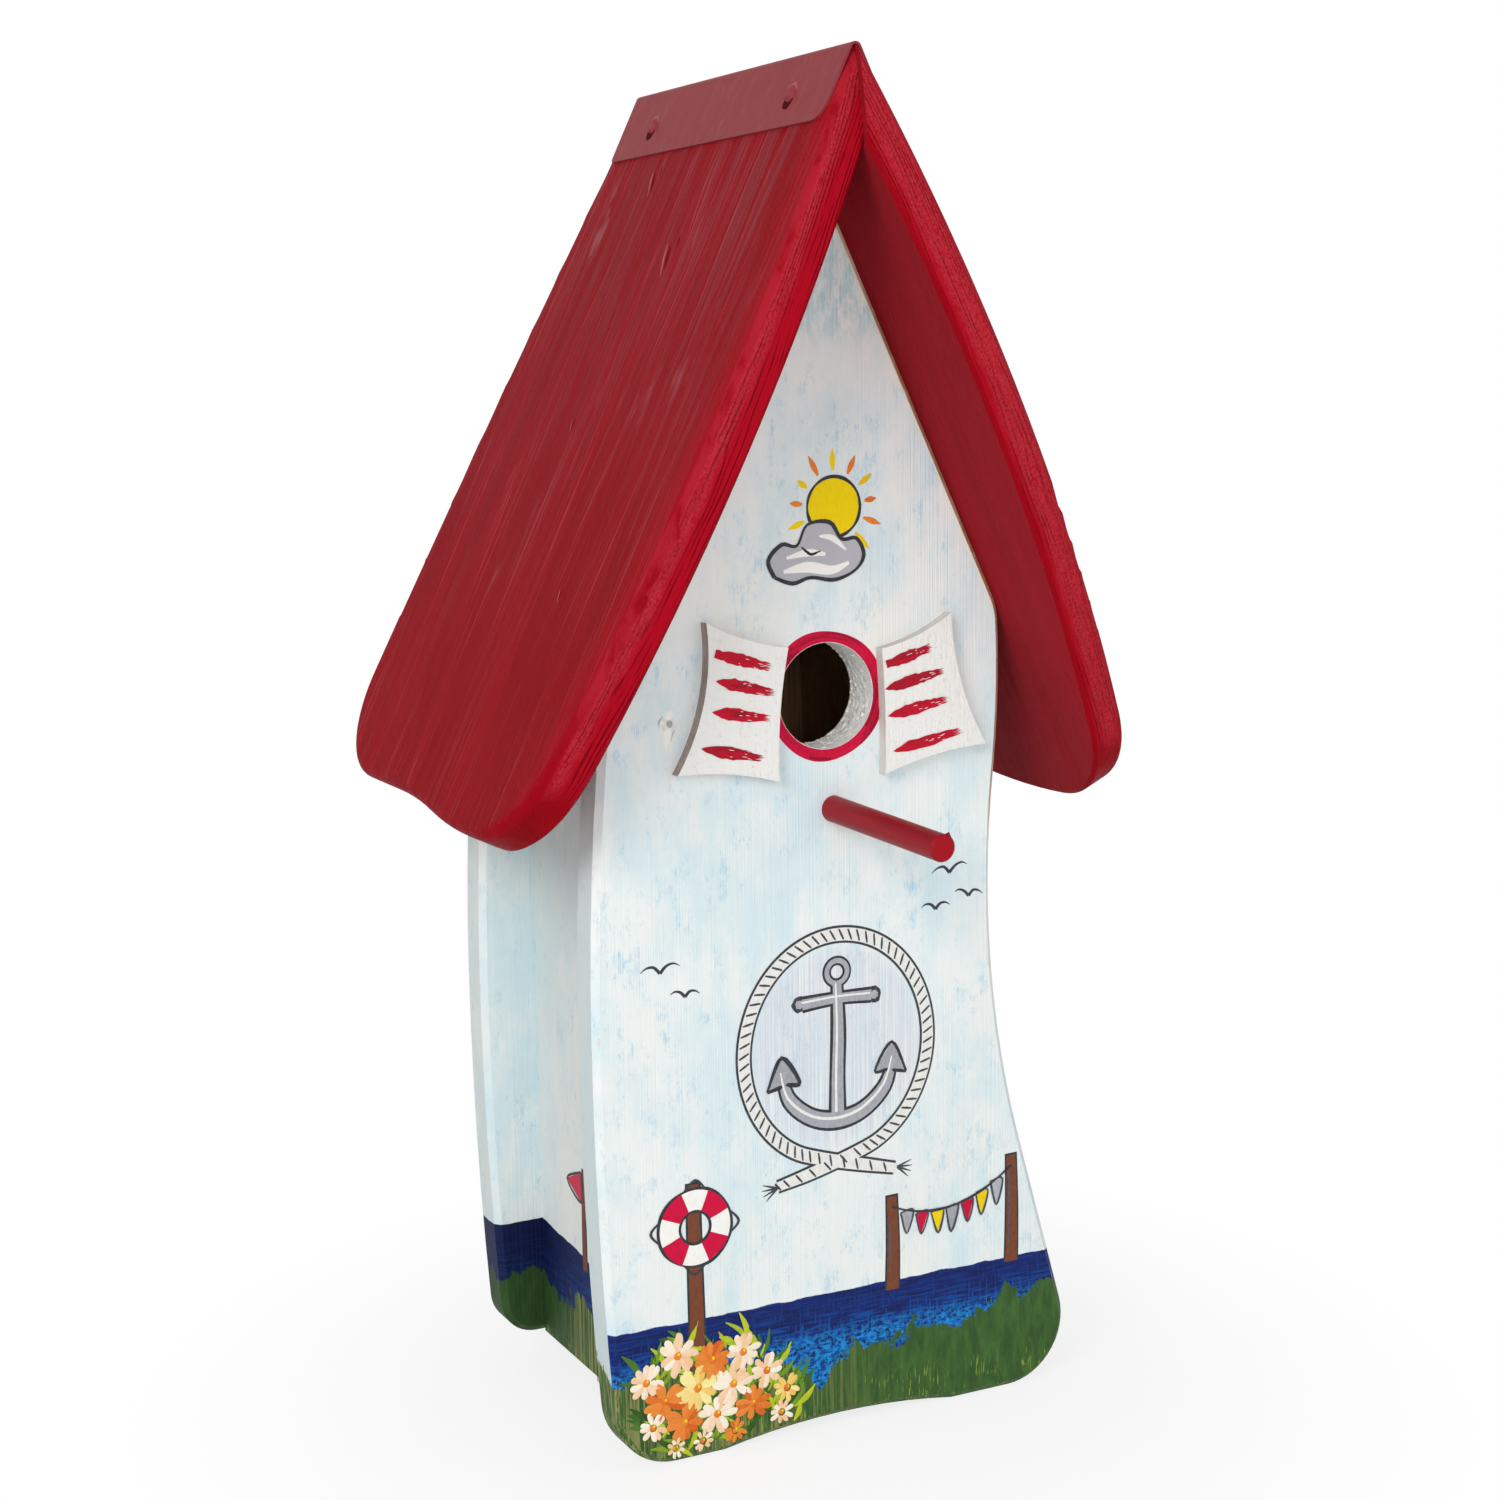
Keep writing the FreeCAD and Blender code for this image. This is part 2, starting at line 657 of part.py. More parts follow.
# ---------------------------------------------------------------- all pieces
pieces = {
    "front_panel": front_panel(),
    "back_panel": back_panel(),
    "left_side_wall": left_side_wall(),
    "right_side_wall": right_side_wall(),
    "left_roof_board": left_roof_board(),
    "right_roof_board": right_roof_board(),
    "ridge_cap": ridge_cap(),
    "left_shutter": shutter(shutter_left, shutter_left_hollow),
    "right_shutter": shutter(shutter_right, shutter_right_hollow),
    "perch_dowel": perch_dowel(),
    "floor_board": floor_board(),
    "turn_button": turn_button(),
    "turn_button_screw": turn_button_screw(),
    "floor_pivot_nails": Part.makeCompound([pivot_nail(p, d) for p, d in pivot_nails()]),
    "front_panel_nails": cut_nails(front_nails, panel_nail_length),
    "back_panel_nails": cut_nails(back_nails, panel_nail_length),
    "left_roof_nails": cut_nails(left_roof_nails, roof_nail_length),
    "right_roof_nails": cut_nails(right_roof_nails, roof_nail_length),
    "left_ridge_cap_nails": Part.makeCompound([cap_tack(p, d) for p, d in left_cap_nails]),
    "right_ridge_cap_nails": Part.makeCompound([cap_tack(p, d) for p, d in right_cap_nails]),
}

for name, shape in pieces.items():
    shape.exportStep("parts/" + name + ".step")
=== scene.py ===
"""Looks of the crooked nest box: painted wood, a folded ridge cap and simple seaside motifs.

Everything is in the part's own frame: the entrance hole's centre is the origin, +X right,
+Y back, +Z up.  Drawn places are in millimetres and are turned into metres by mm().
"""
import math
import random

import bpy
from mathutils import Matrix, Vector
from mathutils.geometry import tessellate_polygon


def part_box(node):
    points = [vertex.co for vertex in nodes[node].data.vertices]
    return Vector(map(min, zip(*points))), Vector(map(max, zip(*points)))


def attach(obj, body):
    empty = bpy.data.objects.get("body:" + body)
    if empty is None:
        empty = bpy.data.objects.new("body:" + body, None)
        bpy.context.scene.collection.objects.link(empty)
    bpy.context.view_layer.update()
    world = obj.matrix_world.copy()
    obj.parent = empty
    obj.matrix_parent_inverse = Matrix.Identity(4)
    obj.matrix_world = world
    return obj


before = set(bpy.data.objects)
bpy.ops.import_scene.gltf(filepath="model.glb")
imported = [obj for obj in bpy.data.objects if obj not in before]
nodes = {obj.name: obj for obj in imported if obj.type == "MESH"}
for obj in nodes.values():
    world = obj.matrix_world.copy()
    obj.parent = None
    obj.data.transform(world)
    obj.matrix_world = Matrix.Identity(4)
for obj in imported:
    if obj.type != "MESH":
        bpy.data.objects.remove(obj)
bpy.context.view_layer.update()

MM = 0.001
HOUSE = "house"


def mm(x, y, z):
    return Vector((x, y, z)) * MM


def add_object(name, data):
    thing = bpy.data.objects.new(name, data)
    bpy.context.scene.collection.objects.link(thing)
    return thing


def box_mm(node):
    low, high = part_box(node)
    return low / MM, high / MM


front_low, front_high = box_mm("front_panel")
back_low, _ = box_mm("back_panel")
wall_low, wall_high = box_mm("left_side_wall")
_, roof_high = box_mm("left_roof_board")
shutter_low, _ = box_mm("left_shutter")
perch_low, perch_high = box_mm("perch_dowel")

FEET = front_low.z
FRONT_BACK = front_high.y              # rear face of the front panel
BACK_FRONT = back_low.y                # front face of the back panel
WALL_OUT = wall_low.x                  # outer face of the left wall
WALL_IN = wall_high.x
RIDGE_X = roof_high.x
SLOPE = math.radians(25.73)            # half the angle at the ridge
BOARD = 12.8                           # thickness of the roof boards
BOARD_LENGTH = 245.0
OVERHANG = 24.5                        # how far they stand out in front at the ridge
DRAWN_BACK = 8.5                       # and how much less far at the eaves
BELLY = 17.0                           # bulge of their front edge between the two
ROOF_TOP = roof_high.z + 1.56          # where the two top faces would meet
GABLE_TOP = ROOF_TOP - BOARD / math.sin(SLOPE)
WALL = 12.0                            # thickness of the side walls
WALL_LIFT = 11.0                       # height of their lower edge over the feet
LEAN_ANGLE = math.radians(3.5)         # the right wall leans in as it rises
LEAN = math.tan(LEAN_ANGLE)
RIGHT_WALL_FOOT = 59.1                 # middle of its lower edge
RIGHT_WALL_IN = RIGHT_WALL_FOOT - WALL / 2 / math.cos(LEAN_ANGLE) + (FEET + WALL_LIFT) * LEAN
SHUTTER_Y = shutter_low.y
HOLE_R = 16.0
PERCH_R = 4.0
CAP_SHEET = 0.7
CAP_TACKS = (0.5, 94.0)                # how far back the left tacks stand
TACK_SLOPE = 14.5                      # down the slope from the ridge
SEA_TOP = FEET + 44.0                  # painted waterline on the front
GRASS_TOP = FEET + 25.0
ANCHOR = (3.0, -108.0)                 # middles of motifs on the front (x, z)
BUOY = (-46.0, -157.0)
SUN = (3.0, 56.0)


# ---- colours
def srgb(text):
    """Hex colour as it looks, turned into the linear numbers that a shader takes."""
    parts = [int(text[i:i + 2], 16) / 255.0 for i in (1, 3, 5)]
    linear = [c / 12.92 if c <= 0.04045 else ((c + 0.055) / 1.055) ** 2.4 for c in parts]
    return (*linear, 1.0)


WHITE_WASH = "#E9EEEC"
CREAM_WASH = "#ECEBE4"
SKY_WASH = "#BCDDE8"
SKY_DAB = "#8FC3DE"
NAVY = "#0C2069"
NAVY_DARK = "#030F40"
COBALT = "#085EBC"
AZURE = "#1C92D6"
GRASS_DARK = "#2B4C22"
GRASS_MID = "#44692F"
GRASS_PALE = "#93A53C"
GRASS_KHAKI = "#8F9058"
ROOF_RED = "#8C0814"
ROOF_BRIGHT = "#960918"
ROOF_SHEEN = "#883439"
CAP_RED = "#8A3439"
STROKE_RED = "#C41030"
PERCH_RED = "#96121F"
SHUTTER_WHITE = "#ECECE8"
SHUTTER_EDGE = "#9C8F88"
BARE_WOOD = "#A88258"
BARE_DARK = "#6E4F31"
PLASTER = "#F6F6F2"
LINE_BLACK = "#26272B"
LINE_GREY = "#5C6066"
STEEL = "#B4B2AC"


# ---- shader building
class Paint:
    """A procedural material; places are in millimetres of the part's frame."""

    def __init__(self, name, roughness=0.6, specular=0.4):
        self.material = bpy.data.materials.new(name)
        self.material.use_nodes = True
        self.tree = self.material.node_tree
        self.shader = self.tree.nodes["Principled BSDF"]
        self.shader.inputs["Roughness"].default_value = roughness
        self.shader.inputs["Specular IOR Level"].default_value = specular
        self.relief = None
        coordinates = self.tree.nodes.new("ShaderNodeTexCoord")
        self.place = self.scaled(coordinates.outputs["Object"], (1000, 1000, 1000))
        self.x, self.y, self.z = self.split(self.place)

    def add(self, kind, inputs=(), **settings):
        node = self.tree.nodes.new(kind)
        for key, value in settings.items():
            setattr(node, key, value)
        for key, value in dict(inputs).items():
            self.put(node.inputs[key], value)
        return node

    def put(self, socket, value):
        """Feeds a socket from another one, or sets it; a hex colour is text."""
        if isinstance(value, bpy.types.NodeSocket):
            self.tree.links.new(value, socket)
        else:
            socket.default_value = srgb(value) if isinstance(value, str) else value

    def math(self, operation, a, b=0.0, c=0.0):
        return self.add("ShaderNodeMath", {0: a, 1: b, 2: c}, operation=operation).outputs[0]

    def plus(self, a, b):
        return self.math("ADD", a, b)

    def minus(self, a, b):
        return self.math("SUBTRACT", a, b)

    def linear(self, value, factor, offset):
        return self.math("MULTIPLY_ADD", value, factor, offset)

    def abs(self, value):
        return self.math("ABSOLUTE", value)

    def squares(self, a, b):
        return self.plus(self.times(a, a), self.times(b, b))

    def vector_math(self, operation, a, b):
        return self.add("ShaderNodeVectorMath", {0: a, 1: b}, operation=operation).outputs

    def scaled(self, vector, factors):
        return self.vector_math("MULTIPLY", vector, factors)[0]

    def dot(self, vector, axis):
        return self.vector_math("DOT_PRODUCT", vector, axis)["Value"]

    def split(self, vector):
        return self.add("ShaderNodeSeparateXYZ", {0: vector}).outputs

    def joined(self, x, y, z):
        return self.add("ShaderNodeCombineXYZ", {0: x, 1: y, 2: z}).outputs[0]

    def noise(self, stretch, vector=None, detail=3.0, roughness=0.55, distortion=0.0, shift=None):
        """Noise from 0 to 1 with so many features per millimetre along each axis."""
        if vector is None:
            vector = self.place
        if shift:
            vector = self.vector_math("ADD", vector, shift)[0]
        inputs = {"Vector": self.scaled(vector, stretch), "Scale": 1.0, "Detail": detail,
                  "Roughness": roughness, "Distortion": distortion}
        return self.add("ShaderNodeTexNoise", inputs).outputs["Fac"]

    def ramp(self, value, low, high):
        """0 below low, 1 above high and smooth between; high below low turns it round."""
        inputs = {"Value": value, "From Min": low, "From Max": high}
        return self.add("ShaderNodeMapRange", inputs,
                        interpolation_type="SMOOTHSTEP").outputs["Result"]

    def between(self, value, low, high, soft):
        rise = self.ramp(value, low - soft, low + soft)
        return self.times(rise, self.ramp(value, high + soft, high - soft))

    def times(self, *factors):
        result = factors[0]
        for factor in factors[1:]:
            result = self.math("MULTIPLY", result, factor)
        return result

    def mix(self, a, b, *factors):
        """Turns colour a into colour b by the product of the factors."""
        node = self.add("ShaderNodeMix", data_type="RGBA")
        self.put(node.inputs[0], self.times(*factors))
        self.put(node.inputs[6], a)
        self.put(node.inputs[7], b)
        return node.outputs[2]

    def sees_background(self):
        """1 for rays from the camera, off a glossy surface or through a clear one."""
        path = self.add("ShaderNodeLightPath").outputs
        seen = self.math("MAXIMUM", path["Is Camera Ray"], path["Is Glossy Ray"])
        return self.math("MAXIMUM", seen, path["Is Transmission Ray"])

    def facing(self, axis):
        """How much the surface faces along a direction, from -1 to 1."""
        normal = self.add("ShaderNodeNewGeometry").outputs["Normal"]
        return self.dot(normal, axis)

    def bump(self, height, millimetres, strength=1.0):
        """Adds a relief whose height runs from 0 to 1 over so many millimetres."""
        inputs = {"Height": height, "Distance": millimetres * MM, "Strength": strength}
        if self.relief is not None:
            inputs["Normal"] = self.relief
        self.relief = self.add("ShaderNodeBump", inputs).outputs[0]

    def finish(self, colour, roughness=None):
        self.put(self.shader.inputs["Base Color"], colour)
        if roughness is not None:
            self.put(self.shader.inputs["Roughness"], roughness)
        if self.relief is not None:
            self.put(self.shader.inputs["Normal"], self.relief)
        return self.material


# ---- materials
def bare_wood_colour(p, vector):
    """Unpainted spruce with growth lines along the vector's third axis."""
    rings = p.noise((0.35, 0.35, 0.006), vector, detail=2, distortion=0.4)
    lines = p.math("FRACT", p.times(rings, 14.0))
    fine = p.noise((2.5, 2.5, 0.03), vector, detail=3)
    dark = p.times(p.ramp(lines, 0.35, 0.95), p.ramp(fine, 0.3, 0.7))
    return p.mix(BARE_WOOD, BARE_DARK, dark)


def gable_level(p):
    """Height plus the gable's fall to the side: the same all along its two slopes."""
    return p.linear(p.abs(p.minus(p.x, RIDGE_X)), 1.0 / math.tan(SLOPE), p.z)


def inside_room(p):
    """1 on surfaces that face the space between the walls and the end panels."""
    left = p.ramp(p.x, WALL_IN - 0.6, WALL_IN - 0.4)
    leaning = p.linear(p.z, LEAN, p.x)
    right = p.ramp(leaning, RIGHT_WALL_IN + 0.5, RIGHT_WALL_IN + 0.3)
    front = p.ramp(p.y, FRONT_BACK - 0.4, FRONT_BACK - 0.2)
    rear = p.ramp(p.y, BACK_FRONT + 0.4, BACK_FRONT + 0.2)
    under = p.ramp(gable_level(p), GABLE_TOP + 1.6, GABLE_TOP + 1.2)
    return p.times(left, right, front, rear, under)


def house_paint():
    """White and pale blue brushed wash, with a painted sea and grass round the foot."""
    p = Paint("house_paint", roughness=0.62, specular=0.2)
    grain = p.noise((1.5, 1.5, 0.010), detail=4, roughness=0.6)
    bristle = p.noise((3.2, 3.2, 0.035), detail=2)
    on_panel = p.ramp(p.y, FRONT_BACK + 0.5, FRONT_BACK)
    on_face = p.ramp(p.y, 2.5, 2.0)
    forward = p.ramp(p.y, FRONT_BACK, FRONT_BACK - 1.0)
    back = p.ramp(p.y, FRONT_BACK, BACK_FRONT)
    leftward = p.ramp(p.facing((-1, 0, 0)), 0.75, 0.95)

    # brushed sky: soft patches of pale wash with small bluer dabs, dragged upright
    broad = p.noise((0.020, 0.020, 0.014), detail=2)
    patches = p.noise((0.085, 0.085, 0.040), detail=6, roughness=0.68, shift=(40, 10, 0))
    wash = p.ramp(p.linear(broad, 0.7, p.times(patches, 0.9)), 0.66, 1.02)
    dabs = p.noise((0.13, 0.13, 0.075), detail=6, roughness=0.78, shift=(7, 3, 90))
    flick = p.noise((0.50, 0.50, 0.20), detail=5, roughness=0.75, shift=(19, 3, 0))
    dabs = p.times(p.ramp(dabs, 0.52, 0.66), p.ramp(bristle, 0.30, 0.62),
                   p.ramp(flick, 0.40, 0.58))
    flick = p.times(p.ramp(flick, 0.60, 0.70), p.ramp(patches, 0.42, 0.62))
    teal = p.noise((0.30, 0.30, 0.12), detail=5, roughness=0.75, shift=(3, 0, 11))
    apex = p.times(p.ramp(p.z, 98.0, 114.0), p.ramp(teal, 0.40, 0.60), p.ramp(grain, 0.24, 0.56))
    warm = p.ramp(p.noise((0.03, 0.03, 0.012), detail=3, shift=(90, 0, 30)), 0.5, 0.7)
    sky = p.mix(WHITE_WASH, CREAM_WASH, warm, 0.5)
    sky = p.mix(sky, SKY_WASH, wash, 0.55)
    sky = p.mix(sky, SKY_DAB, dabs, 0.70)
    sky = p.mix(sky, SKY_DAB, flick, 0.45)
    sky = p.mix(sky, "#8AC4CE", apex, 0.62)
    sky = p.mix(sky, "#AEB8BA", p.ramp(grain, 0.60, 0.76), 0.20)

    # a thin lilac-grey patch behind the anchor, brushed out at its border
    across = p.math("DIVIDE", p.minus(p.x, ANCHOR[0]), 31.0)
    upright = p.math("DIVIDE", p.minus(p.z, ANCHOR[1]), 33.0)
    centre = p.linear(patches, 0.5, p.squares(across, upright))
    plaque = p.times(p.ramp(centre, 1.30, 0.95), p.ramp(p.y, 1.0, 0.5))
    sky = p.mix(sky, "#CFD0DC", plaque, p.ramp(grain, 0.38, 0.58), 0.75)
    # the front panel's side faces get a grey wash: partly their own greyer paint, partly painted
    # shade
    sideways = p.ramp(p.abs(p.facing((1, 0, 0))), 0.75, 0.95)
    sky = p.mix(sky, "#C6D2D2", sideways, on_panel, 0.60)
    sky = p.mix(sky, "#D8D2C6", leftward, p.minus(1.0, on_panel), 0.30)

    # sea: navy, cross-hatched with a cobalt dry brush that grows stronger toward the shore
    ripple = p.noise((0.09, 0.09, 0.01), detail=4)
    level = p.linear(back, 6.0, SEA_TOP)
    level = p.linear(ripple, 2.4, p.minus(level, 1.2))
    above = p.minus(p.z, level)
    sea_here = p.ramp(above, 0.12, -0.12)
    sweep = p.noise((0.04, 0.04, 0.70), detail=4, roughness=0.65)
    warp = p.noise((1.2, 1.2, 0.16), detail=3)
    weft = p.noise((0.09, 0.09, 1.1), detail=3, shift=(5, 0, 2))
    weft = p.math("MAXIMUM", p.minus(warp, 0.04), weft)
    body = p.mix(NAVY, NAVY_DARK, p.ramp(sweep, 0.35, 0.7))
    hatch = p.times(p.ramp(weft, 0.48, 0.60), p.ramp(sweep, 0.32, 0.50))
    nearer = p.ramp(above, -3.0, -17.0)
    body = p.mix(body, COBALT, hatch, p.linear(nearer, 0.72, 0.18))
    foam = p.noise((0.55, 0.55, 0.75), detail=4, roughness=0.75)
    patch = p.ramp(p.noise((0.06, 0.06, 0.06), detail=1), 0.32, 0.47)
    foam = p.times(p.ramp(foam, 0.45, 0.57), patch, p.ramp(above, -9.0, -17.0), forward)
    body = p.mix(body, AZURE, foam, 0.9)
    body = p.mix(body, "#010730", back, 0.85)
    bare_edge = p.times(leftward, on_panel, p.ramp(p.z, GRASS_TOP - 2.0, GRASS_TOP + 1.0))
    sea_here = p.times(sea_here, p.minus(1.0, bare_edge))
    surface = p.mix(sky, body, sea_here)

    # grass: dark dabbed masses that rise to the right, with pale upright flecks low down
    masses = p.noise((0.075, 0.075, 0.050), detail=2, shift=(12, 0, 5))
    fuzz = p.noise((0.9, 0.9, 0.35), detail=4, roughness=0.7)
    top = p.plus(p.linear(masses, 34.0, GRASS_TOP - 19.5), p.times(p.x, 0.10, forward))
    top = p.linear(fuzz, 7.0, p.minus(top, 3.5))
    bank = p.times(p.ramp(p.x, -18.0, -42.0), p.ramp(p.y, FRONT_BACK + 1.0, FRONT_BACK))
    top = p.linear(bank, 15.0, p.linear(back, 9.0, top))
    grass_here = p.ramp(p.minus(p.z, top), 0.5, -0.5)
    tone = p.noise((0.30, 0.30, 0.10), detail=5, roughness=0.65, shift=(3, 60, 0))
    green = p.mix(GRASS_DARK, GRASS_MID, p.ramp(tone, 0.30, 0.75))
    green = p.mix(green, "#1C3416", back, 0.6)
    reeds = p.noise((1.0, 1.0, 0.02), detail=3, roughness=0.65)
    reeds = p.times(p.ramp(reeds, 0.45, 0.60), p.ramp(p.x, 25.0, -25.0), p.ramp(back, 1.0, 0.5))
    green = p.mix(green, GRASS_KHAKI, reeds, 0.8)
    fleck = p.noise((1.5, 1.5, 0.16), detail=2, shift=(31, 0, 8))
    cluster = p.noise((0.09, 0.09, 0.14), detail=2, shift=(0, 17, 50))
    low = p.ramp(p.z, GRASS_TOP - 6.0, FEET + 8.0)
    fleck = p.times(p.ramp(fleck, 0.56, 0.64), p.ramp(cluster, 0.46, 0.58), low)
    green = p.mix(green, GRASS_PALE, fleck, 0.8)
    surface = p.mix(surface, green, grass_here)

    # worn arrises, the hole's rough rim and the unpainted room
    frayed = p.noise((1.3, 1.3, 1.3), detail=4, roughness=0.8)
    frayed = p.linear(frayed, 5.0, gable_level(p))
    rim = p.times(p.ramp(frayed, GABLE_TOP - 3.5, GABLE_TOP - 2.6), on_face,
                  p.ramp(flick, 0.30, 0.0))
    surface = p.mix(surface, "#F0E2C6", rim, 0.9)
    turned = p.abs(p.facing((0, 1, 0)))
    arris = p.times(p.ramp(turned, 0.05, 0.35), p.ramp(turned, 0.97, 0.85))
    wear = p.noise((0.5, 0.5, 0.12), detail=5, roughness=0.75)
    worn = p.times(arris, p.ramp(wear, 0.56, 0.66), p.ramp(p.y, BACK_FRONT, FRONT_BACK))
    surface = p.mix(surface, "#D9B98E", worn, 0.4)
    sheltered = p.times(arris, p.ramp(p.x, 10.0, 20.0), p.ramp(p.z, -52.0, -32.0),
                        p.ramp(wear, 0.34, 0.50), on_face)
    surface = p.mix(surface, "#B98A58", sheltered, 0.8)
    from_axis = p.math("SQRT", p.squares(p.x, p.z))
    rough = p.noise((0.7, 0.7, 0.7), detail=5, roughness=0.7)
    bore = p.times(p.ramp(from_axis, HOLE_R + 0.25, HOLE_R + 0.1),
                   p.ramp(p.y, FRONT_BACK + 1.0, FRONT_BACK + 0.5))
    plaster = p.mix(PLASTER, "#E0E1DD", p.ramp(rough, 0.52, 0.85))
    surface = p.mix(surface, plaster, bore)
    surface = p.mix(surface, bare_wood_colour(p, p.place), inside_room(p))

    p.bump(grain, 0.28, 0.8)
    p.bump(bristle, 0.10, 0.6)
    p.bump(p.times(bore, rough), 1.0, 0.8)
    return p.finish(surface)


def roof_paint(name, side):
    """Red stained board; the grain runs down the slope (side -1 left, 1 right)."""
    p = Paint(name, roughness=0.48, specular=0.012)
    down = (side * math.sin(SLOPE), 0, -math.cos(SLOPE))
    inward = (-side * math.cos(SLOPE), 0, -math.sin(SLOPE))
    along = p.plus(p.dot(p.place, down), ROOF_TOP * math.cos(SLOPE))
    ridge_depth = -side * math.cos(SLOPE) * RIDGE_X - math.sin(SLOPE) * ROOF_TOP
    depth = p.minus(p.dot(p.place, inward), ridge_depth)
    board = p.joined(p.y, depth, along)
    flow = p.noise((0.05, 0.05, 0.004), board, detail=2)
    bent = p.joined(p.linear(flow, 18.0, p.y), depth, along)
    fine = p.noise((1.35, 1.35, 0.010), bent, detail=4, roughness=0.6)
    rays = p.noise((4.0, 4.0, 0.04), bent, detail=2)
    broad = p.noise((0.07, 0.07, 0.008), bent, detail=3, roughness=0.6)
    streak = p.noise((0.30, 0.30, 0.010), bent, detail=4, roughness=0.65, shift=(31, 0, 0))

    outward = p.times(p.facing(inward), -1.0)
    forward = p.facing((0, -1, 0))
    top = p.ramp(outward, 0.80, 0.97)
    sawn = p.ramp(forward, 0.80, 0.97)
    rounding = p.times(p.between(outward, 0.14, 0.96, 0.10), p.ramp(forward, 0.06, 0.22))
    share = p.math("DIVIDE", along, BOARD_LENGTH)
    bulge = p.times(share, p.minus(1.0, share), 4.0 * BELLY)
    from_front = p.plus(p.linear(share, -DRAWN_BACK, p.plus(p.y, OVERHANG)), bulge)
    upper = p.ramp(along, 210.0, 40.0)
    colour = p.mix(ROOF_RED, ROOF_BRIGHT, p.ramp(broad, 0.35, 0.62))
    # painted sheen: a dull pink veil over the top faces, strongest toward the ridge, for the
    # white surroundings reflected at a grazing angle
    sheen = p.times(top, p.ramp(streak, 0.40, 0.66), p.linear(upper, 0.75, 0.12))
    colour = p.mix(colour, ROOF_SHEEN, sheen)
    # painted sheen: paler grey-pink patches on the upper part of the top faces
    sheen_patches = p.noise((0.07, 0.07, 0.018), bent, detail=4, roughness=0.6, shift=(9, 0, 40))
    sheen_patches = p.times(top, p.ramp(sheen_patches, 0.60, 0.72), upper)
    colour = p.mix(colour, "#A9777A", sheen_patches, 0.5)
    # pale lines along the grain: the grain is the board's own, their paleness is painted sheen on
    # its ridges
    pale = p.times(top, p.ramp(fine, 0.57, 0.63), p.ramp(broad, 0.36, 0.54),
                   p.linear(upper, 0.10, 0.27))
    colour = p.mix(colour, "#BC7074", pale)
    colour = p.mix(colour, "#5E0A12", p.ramp(fine, 0.42, 0.30), 0.52)
    brushed = p.noise((0.16, 0.16, 0.05), detail=4, roughness=0.6)
    wet = p.times(top, p.ramp(p.linear(brushed, 14.0, from_front), 22.0, 13.0))
    colour = p.mix(colour, "#A40A1C", wet, 0.6)
    # painted highlight: a paler pink band along the rounded front arris, where the light catches
    # it, fading out toward the lower front corner; there the rounding is painted plain deep red
    corner = p.ramp(along, 194.0, 220.0)
    arris_highlight = p.times(rounding, p.ramp(brushed, 0.32, 0.55), p.minus(1.0, corner))
    colour = p.mix(colour, "#AC2432", arris_highlight, 0.7)
    colour = p.mix(colour, "#960818", rounding, corner, 0.75)
    colour = p.mix(colour, "#AC0C20", sawn, 0.8)
    colour = p.mix(colour, "#A8404A", p.ramp(outward, -0.80, -0.97), 0.22)
    stipple = p.noise((1.6, 1.6, 1.2), detail=3, roughness=0.75)
    blush = p.ramp(p.linear(brushed, 4.0, depth), 11.5 + 2.0 * side, 8.0 + 2.0 * side)
    colour = p.mix(colour, "#B0303A", sawn, blush, p.ramp(stipple, 0.34, 0.60), 0.9)
    drift = p.noise((0.02, 0.06, 0.007), board, detail=3)
    rows = p.math("FRACT", p.linear(depth, 0.72, p.times(drift, 11.0)))
    kept = p.noise((0.1, 0.35, 0.016), board, detail=3, roughness=0.6, shift=(0, 7, 0))
    grooves = p.times(p.between(rows, 0.32, 0.52, 0.12), p.ramp(kept, 0.40, 0.56))
    cuts = p.times(sawn, grooves, p.minus(1.0, p.times(blush, 0.7)))
    colour = p.mix(colour, "#5A0810", cuts, 0.60 - 0.15 * side)
    colour = p.mix(colour, bare_wood_colour(p, board), inside_room(p))

    p.bump(fine, 0.45, 0.8)
    p.bump(rays, 0.14, 0.6)
    p.bump(p.times(sawn, grooves, -1.0), 0.4, 0.9)
    gloss = p.linear(p.ramp(streak, 0.3, 0.7), 0.14, 0.38)
    return p.finish(colour, gloss)


def cap_paint():
    """Painted sheet: smooth, a little orange-peel and a few scuffs."""
    p = Paint("cap_paint", roughness=0.42, specular=0.06)
    peel = p.noise((1.1, 1.1, 1.1), detail=2)
    scuff = p.noise((0.12, 0.35, 0.12), detail=5, roughness=0.7)
    colour = p.mix(CAP_RED, "#944246", p.ramp(scuff, 0.5, 0.75))
    p.bump(peel, 0.06, 0.5)
    p.bump(p.noise((0.05, 0.05, 0.05), detail=2), 1.2, 0.4)
    return p.finish(colour)


def shutter_paint():
    """Rough white plate with raw grey-brown sides."""
    p = Paint("shutter_paint", roughness=0.75, specular=0.25)
    weave = p.noise((1.6, 1.6, 0.10), detail=4, roughness=0.6)
    lumps = p.noise((0.5, 0.5, 0.5), detail=4, roughness=0.65)
    front = p.ramp(p.facing((0, -1, 0)), 0.55, 0.80)
    face = p.mix(SHUTTER_WHITE, "#D6D7D2", p.ramp(lumps, 0.55, 0.75))
    raw = p.mix(SHUTTER_EDGE, "#B9AFA6", p.ramp(weave, 0.35, 0.65))
    outer = p.times(p.ramp(p.x, 0.0, -2.0), p.ramp(p.facing((-1, 0, 0)), 0.5, 0.8))
    side = p.mix("#DEDCD6", raw, p.linear(outer, 0.85, 0.15))
    p.bump(weave, 0.35, 0.9)
    p.bump(lumps, 0.6, 0.8)
    return p.finish(p.mix(side, face, front))


